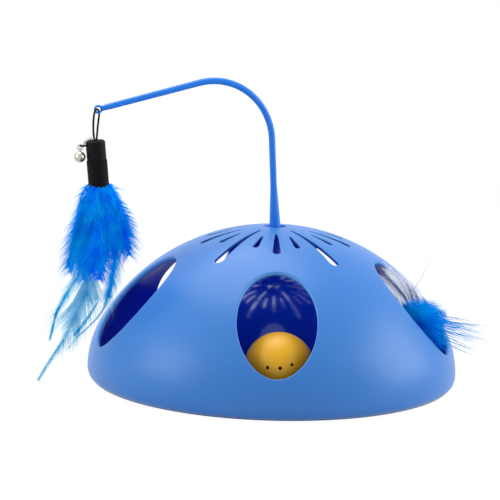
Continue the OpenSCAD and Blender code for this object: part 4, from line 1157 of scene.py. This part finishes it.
class CATTOY_OT_plumes(bpy.types.Operator):
    """Long pale plumes that hang below the fluff"""

    bl_idname = "cattoy.plumes"
    bl_label = "Teaser plumes"

    def execute(self, context):
        look = context.scene.toy_colours
        maker = Feather(random.Random(5))
        face = (ACROSS + OUT * 0.12).normalized()
        for quill, across, barbs, width, tints, rows in PLUMES:
            def vane(t, hand, rows=rows):
                for (a, *low), (b, *high) in zip(rows, rows[1:]):
                    if t <= b:
                        side = hand > 0
                        return (low[side] + (high[side] - low[side]) * (t - a) / (b - a)) * MM
                return 0.0

            route = through([under_knot(out, across, up) for out, up in QUILLS[quill]])
            maker.grow(route, face, vane, barbs, slant=1.7, width=width * MM, tints=tints, quill_r=0.4 * MM,
                       curl=0.12, rough=0.3, rows=4, bare=0.02)
        # Barbs that would lie in the dome, or nearer to it than the gap, are pushed outwards.
        gap, push = MM, 1.4
        dome = DomeOutline(context.scene.toy_sizes, -gap)
        for vert in maker.bm.verts:
            vert.co += OUT * max(0.0, dome.depth(vert.co)) * push
        plumes = new_object("teaser_plume_vanes", maker.bm)
        finish_piece(plumes, feather_material("plume_vane", look.plume_deep, look.plume_pale, 0.45),
                     "teaser", "plume_blue", "teaser_plumes")
        return {"FINISHED"}


# Chain from the cap to the bell as (outwards, across, up) points from the knot, in millimetres.
CHAIN = ((1.6, 1.2, 4.1), (3.6, 1.4, 4.1), (5.4, 1.4, 3.6), (6.8, 1.0, 2.3), (7.7, 0.6, 1.0))
BELL_R = 3.5


class CATTOY_OT_bell(bpy.types.Operator):
    """Bell, its link, and the small chain that hangs it at the cap's shoulder"""

    bl_idname = "cattoy.bell"
    bl_label = "Bell"

    def execute(self, context):
        silver = brushed_metal("bell_silver", context.scene.toy_colours.metal, 0.22, (1, 1, 4))
        dress(silver, "bell_link", "bell_shell", "bell_pellet")
        low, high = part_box("bell_shell")
        bm = bmesh.new()
        centre = Vector(((low.x + high.x) / 2, (low.y + high.y) / 2, low.z + BELL_R * MM))
        ring_into(bm, centre, UP, BELL_R, wire=0.28, steps=48, sides=8)
        finish_piece(new_object("bell_rim", bm), silver, "bell", "bell_metal")
        chain = bmesh.new()
        line = through([under_knot(*p) for p in CHAIN], 3)
        for i, (a, b) in enumerate(zip(line, line[1:])):
            flat = (b - a).normalized().cross(ACROSS).normalized()
            ring_into(chain, (a + b) / 2, flat if i % 2 else ACROSS, r=0.72, wire=0.2, steps=16, sides=6)
        finish_piece(new_object("bell_chain", chain), silver, "teaser", "bell_metal")
        return {"FINISHED"}


# Runs of pale wisps, near, middle and far: where they begin and end along the dome and how deep, in
# millimetres, and how far round, in degrees.
WISP_RUNS = (
    ((((100, 114), 7), ((76, 92), 4)), ((-15, 0), (-14, 0))),
    ((((106, 117), 5), ((74, 90), -1.5)), ((-6, 14), (-8, 14))),
    ((((106, 117), 5), ((88, 104), -1.5)), ((0, 14), (4, 18))),
)


class CATTOY_OT_side_feather(bpy.types.Operator):
    """Feather bundle that the spinner whips round through the paw holes"""

    bl_idname = "cattoy.side_feather"
    bl_label = "Side feather"

    def execute(self, context):
        look, feathers = context.scene.toy_colours, context.scene.toy_feathers
        turn = math.radians(-16.3)
        level = Vector((math.cos(turn), math.sin(turn), 0))
        back = UP.cross(level)

        def beside(out, up):
            """Point over the line that the bundle points along, in millimetres."""
            return level * out * MM + UP * up * MM

        root = beside(59, 53.8)
        rng = random.Random(23)

        def towards(slope, yaw, far):
            slope = math.radians(slope)
            return root + (level * math.cos(slope) + UP * math.sin(slope) + back * yaw) * far * MM

        maker = Feather(rng)
        for i in range(feathers.side_count):
            slope = -26 + 30 * (i + rng.random()) / feathers.side_count
            yaw = rng.uniform(-0.28, 0.2) * (1 + slope / 60)
            long = rng.uniform(47, 57) + max(0, -17 - slope) * 0.6
            wide = rng.uniform(5, 7.5) * MM

            def vane(t, hand, wide=wide):
                return wide * (0.03 + 0.97 * math.sin(math.pi * min(1, t) ** 1.1) ** 0.8)

            route = bent(root, towards(slope * 0.6 + 3, yaw * 0.4, long * 0.5), towards(slope, yaw, long))
            face = (back * -1 + UP * rng.uniform(-0.3, 0.3) + level * rng.uniform(-0.2, 0.2)).normalized()
            tints = (0.6 + slope / 30, rng.uniform(0.6, 1.1))
            maker.grow(route, face, vane, barbs=70, slant=1.8, width=0.55 * MM, tints=tints,
                       quill_r=0.25 * MM, curl=0.3, rough=0.4, bare=0.25)
        for _ in range(feathers.side_strands):
            slope, yaw = rng.uniform(-20, -1), rng.uniform(-0.2, 0.1)
            begin = towards(slope, yaw, rng.uniform(40, 52))
            tip = towards(slope + rng.uniform(-4, 2), yaw, rng.uniform(60, 88) - abs(slope + 10) * 0.8)
            sag = UP * rng.uniform(-5, 3) * MM
            wide = rng.uniform(0.3, 0.55) * MM
            maker.barb(begin, tip - begin - sag, sag, Vector((0, 0, 0)), wide, rows=6, tints=(0.9, 1.0))
        bundle = new_object("side_down", maker.bm)
        bundle.data.materials.append(feather_material("feather_down", look.feather_deep, look.feather_pale))
        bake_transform(bundle)
        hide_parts("side_feather")

        maker = Feather(rng)
        dome = DomeOutline(context.scene.toy_sizes)
        for i in range(feathers.wisp_count):
            runs, swings = WISP_RUNS[i % 3]
            points = []
            for (span, sink), swing in zip(runs, swings):
                r, z = dome.at(rng.uniform(*span) * MM, sink * MM)
                points.append(turned("Z", rng.uniform(*swing), 3) @ (level * r + UP * z))
            begin, tip = points
            wide = rng.uniform(4, 6) * MM

            def wisp(t, hand, wide=wide):
                return wide * math.sin(math.pi * t) ** 0.6

            route = bent(begin, (begin + tip) / 2 + level * 3 * MM, tip)
            maker.grow(route, (level + UP * 0.6).normalized(), wisp, barbs=40, slant=1.6, width=0.34 * MM,
                       tints=(0.6, 1.0), quill_r=0.14 * MM, curl=0.2, rough=0.4)
        maker.quill(bent(beside(88, 60), beside(97, 72), beside(103, 88)), radius=0.3 * MM, tint=0.0)
        wisps = new_object("side_wisps", maker.bm)
        wisps.data.materials.append(feather_material("wisp_down", [c * 0.7 for c in look.wisp], look.wisp))
        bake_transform(wisps)
        return {"FINISHED"}


# Mouldings of the inside: name, colour, roughness, clouding, size and depth of the grain, and their solids.
MOULDINGS = (
    ("foot_rubber", (0.045, 0.045, 0.05), 0.8, 0.3, 0.5, 0.08,
     ("foot_front", "foot_right", "foot_back_right", "foot_back_left", "foot_left")),
    ("case_moulding", (0.72, 0.72, 0.69), 0.5, 0.06, 0.7, 0.03,
     ("gear_case", "gear_case_lid", "motor_end_cap")),
    ("gear_moulding", (0.82, 0.80, 0.74), 0.36, 0.05, 0.5, 0.02,
     ("idler_gear_one", "idler_gear_two", "output_gear")),
    ("cell_wrap", (0.03, 0.03, 0.035), 0.3, 0.15, 0.8, 0.01,
     ("aa_cell_left", "aa_cell_middle", "aa_cell_right")),
    ("board_laminate", (0.01, 0.09, 0.03), 0.35, 0.3, 0.3, 0.02, ("circuit_board",)),
)


class CATTOY_OT_inside(bpy.types.Operator):
    """Finishes of the base, the drive and the cells"""

    bl_idname = "cattoy.inside"
    bl_label = "Base and drive"

    def execute(self, context):
        base = plastic("base_satin_blue", context.scene.toy_colours.base, roughness=0.34, clouding=0.06,
                       grain=0.6, depth=0.02)
        dress(base, "base_plate", "battery_door")
        for *finish, nodes in MOULDINGS:
            dress(plastic(*finish), *nodes)
        steel = brushed_metal("steel_drawn", (0.55, 0.56, 0.58), 0.32)
        dress(steel, "battery_door_screw", "dome_screws", "case_screws", "lid_screws", "spinner_screw",
              "output_shaft", "motor_shaft", "gear_pin_one", "gear_pin_two", "contact_plates",
              "contact_springs", "motor_can")
        brass = brushed_metal("brass_turned", (0.72, 0.50, 0.19), 0.3)
        dress(brass, "lower_bush", "upper_bush", "motor_pinion")
        return {"FINISHED"}


def seen_rays(tree):
    """1 for a ray that shows a thing by sight, by gloss or through a clear piece, and 0 for the others."""
    rays = node(tree, "ShaderNodeLightPath", (-900, 300)).outputs
    first = maths(tree, "MAXIMUM", (-700, 300), rays["Is Camera Ray"], rays["Is Glossy Ray"])
    return maths(tree, "MAXIMUM", (-520, 300), first, rays["Is Transmission Ray"])


class CATTOY_OT_stage(bpy.types.Operator):
    """White floor and soft studio light"""

    bl_idname = "cattoy.stage"
    bl_label = "Stage"

    def execute(self, context):
        scene, setup = context.scene, context.scene.toy_stage
        scene.view_settings.view_transform = "Standard"
        bm = bmesh.new()
        bmesh.ops.create_grid(bm, x_segments=1, y_segments=1, size=40)
        floor = new_object("floor", bm, False)
        paper, tree, shader = start_material("floor_paper")
        tree.nodes.remove(shader)
        matt = node(tree, "ShaderNodeBsdfDiffuse", (-300, 100), {"Color": (0.62, 0.62, 0.62, 1)})
        glow = node(tree, "ShaderNodeEmission", (-300, -60), {"Strength": 1.05})
        glow_share = 0.93
        share = maths(tree, "MULTIPLY", (-300, 300), seen_rays(tree), glow_share)
        mix = node(tree, "ShaderNodeMixShader", (0, 0), {0: share, 1: matt.outputs[0], 2: glow.outputs[0]})
        feed(tree.nodes["Material Output"], {"Surface": mix.outputs[0]})
        floor.data.materials.append(paper)

        world = bpy.data.worlds.new("studio")
        scene.world = world
        world.use_nodes = True
        tree = world.node_tree
        level = node(tree, "ShaderNodeMapRange", (-300, 200), {
            "Value": seen_rays(tree), "To Min": setup.world, "To Max": 1.0})
        feed(tree.nodes["Background"], {"Color": (1, 1, 1, 1), "Strength": level.outputs["Result"]})

        lamps = (
            ("key", (-0.25, 0.3, 1.25), 1.0, setup.key_power),
            ("fill_left", (-1.15, -0.45, 0.56), 0.7, setup.fill_power * 1.55),
            ("fill_right", (1.2, -0.02, 0.52), 0.85, setup.fill_power * 2.5),
        )
        aim = Vector((0, 0, 0.06))
        for name, spot, size, power in lamps:
            light = bpy.data.lights.new(name, "AREA")
            light.shape = "SQUARE"
            light.size = size
            light.energy = power
            lamp = bpy.data.objects.new(name, light)
            scene.collection.objects.link(lamp)
            lamp.location = spot
            lamp.rotation_euler = (aim - Vector(spot)).to_track_quat("-Z", "Y").to_euler()
        return {"FINISHED"}


STEPS = (
    CATTOY_OT_camera, CATTOY_OT_cord, CATTOY_OT_dome, CATTOY_OT_spinner, CATTOY_OT_wand, CATTOY_OT_ball,
    CATTOY_OT_teaser, CATTOY_OT_fluff, CATTOY_OT_plumes, CATTOY_OT_bell, CATTOY_OT_side_feather,
    CATTOY_OT_inside, CATTOY_OT_stage,
)
GROUPS = {
    "toy_colours": ToyColours, "toy_sizes": ToySizes, "toy_feathers": ToyFeathers, "toy_stage": ToyStage,
}


class CATTOY_PT_pieces(bpy.types.Panel):
    """Pieces of the toy, in the order they are made"""

    bl_label = "Cat toy"
    bl_idname = "CATTOY_PT_pieces"
    bl_space_type = "VIEW_3D"
    bl_region_type = "UI"
    bl_category = "Cat toy"

    def draw(self, context):
        for step in STEPS:
            self.layout.operator(step.bl_idname)
        for group in GROUPS:
            holder = getattr(context.scene, group)
            for name in holder.__annotations__:
                self.layout.prop(holder, name)


def register():
    for kind in (*GROUPS.values(), *STEPS, CATTOY_PT_pieces):
        bpy.utils.register_class(kind)
    for name, kind in GROUPS.items():
        setattr(bpy.types.Scene, name, PointerProperty(type=kind))


def unregister():
    for name in GROUPS:
        delattr(bpy.types.Scene, name)
    for kind in reversed((*GROUPS.values(), *STEPS, CATTOY_PT_pieces)):
        bpy.utils.unregister_class(kind)


def main():
    register()
    for step in STEPS:
        group, name = step.bl_idname.split(".")
        getattr(getattr(bpy.ops, group), name)()


if __name__ == "__main__":
    main()
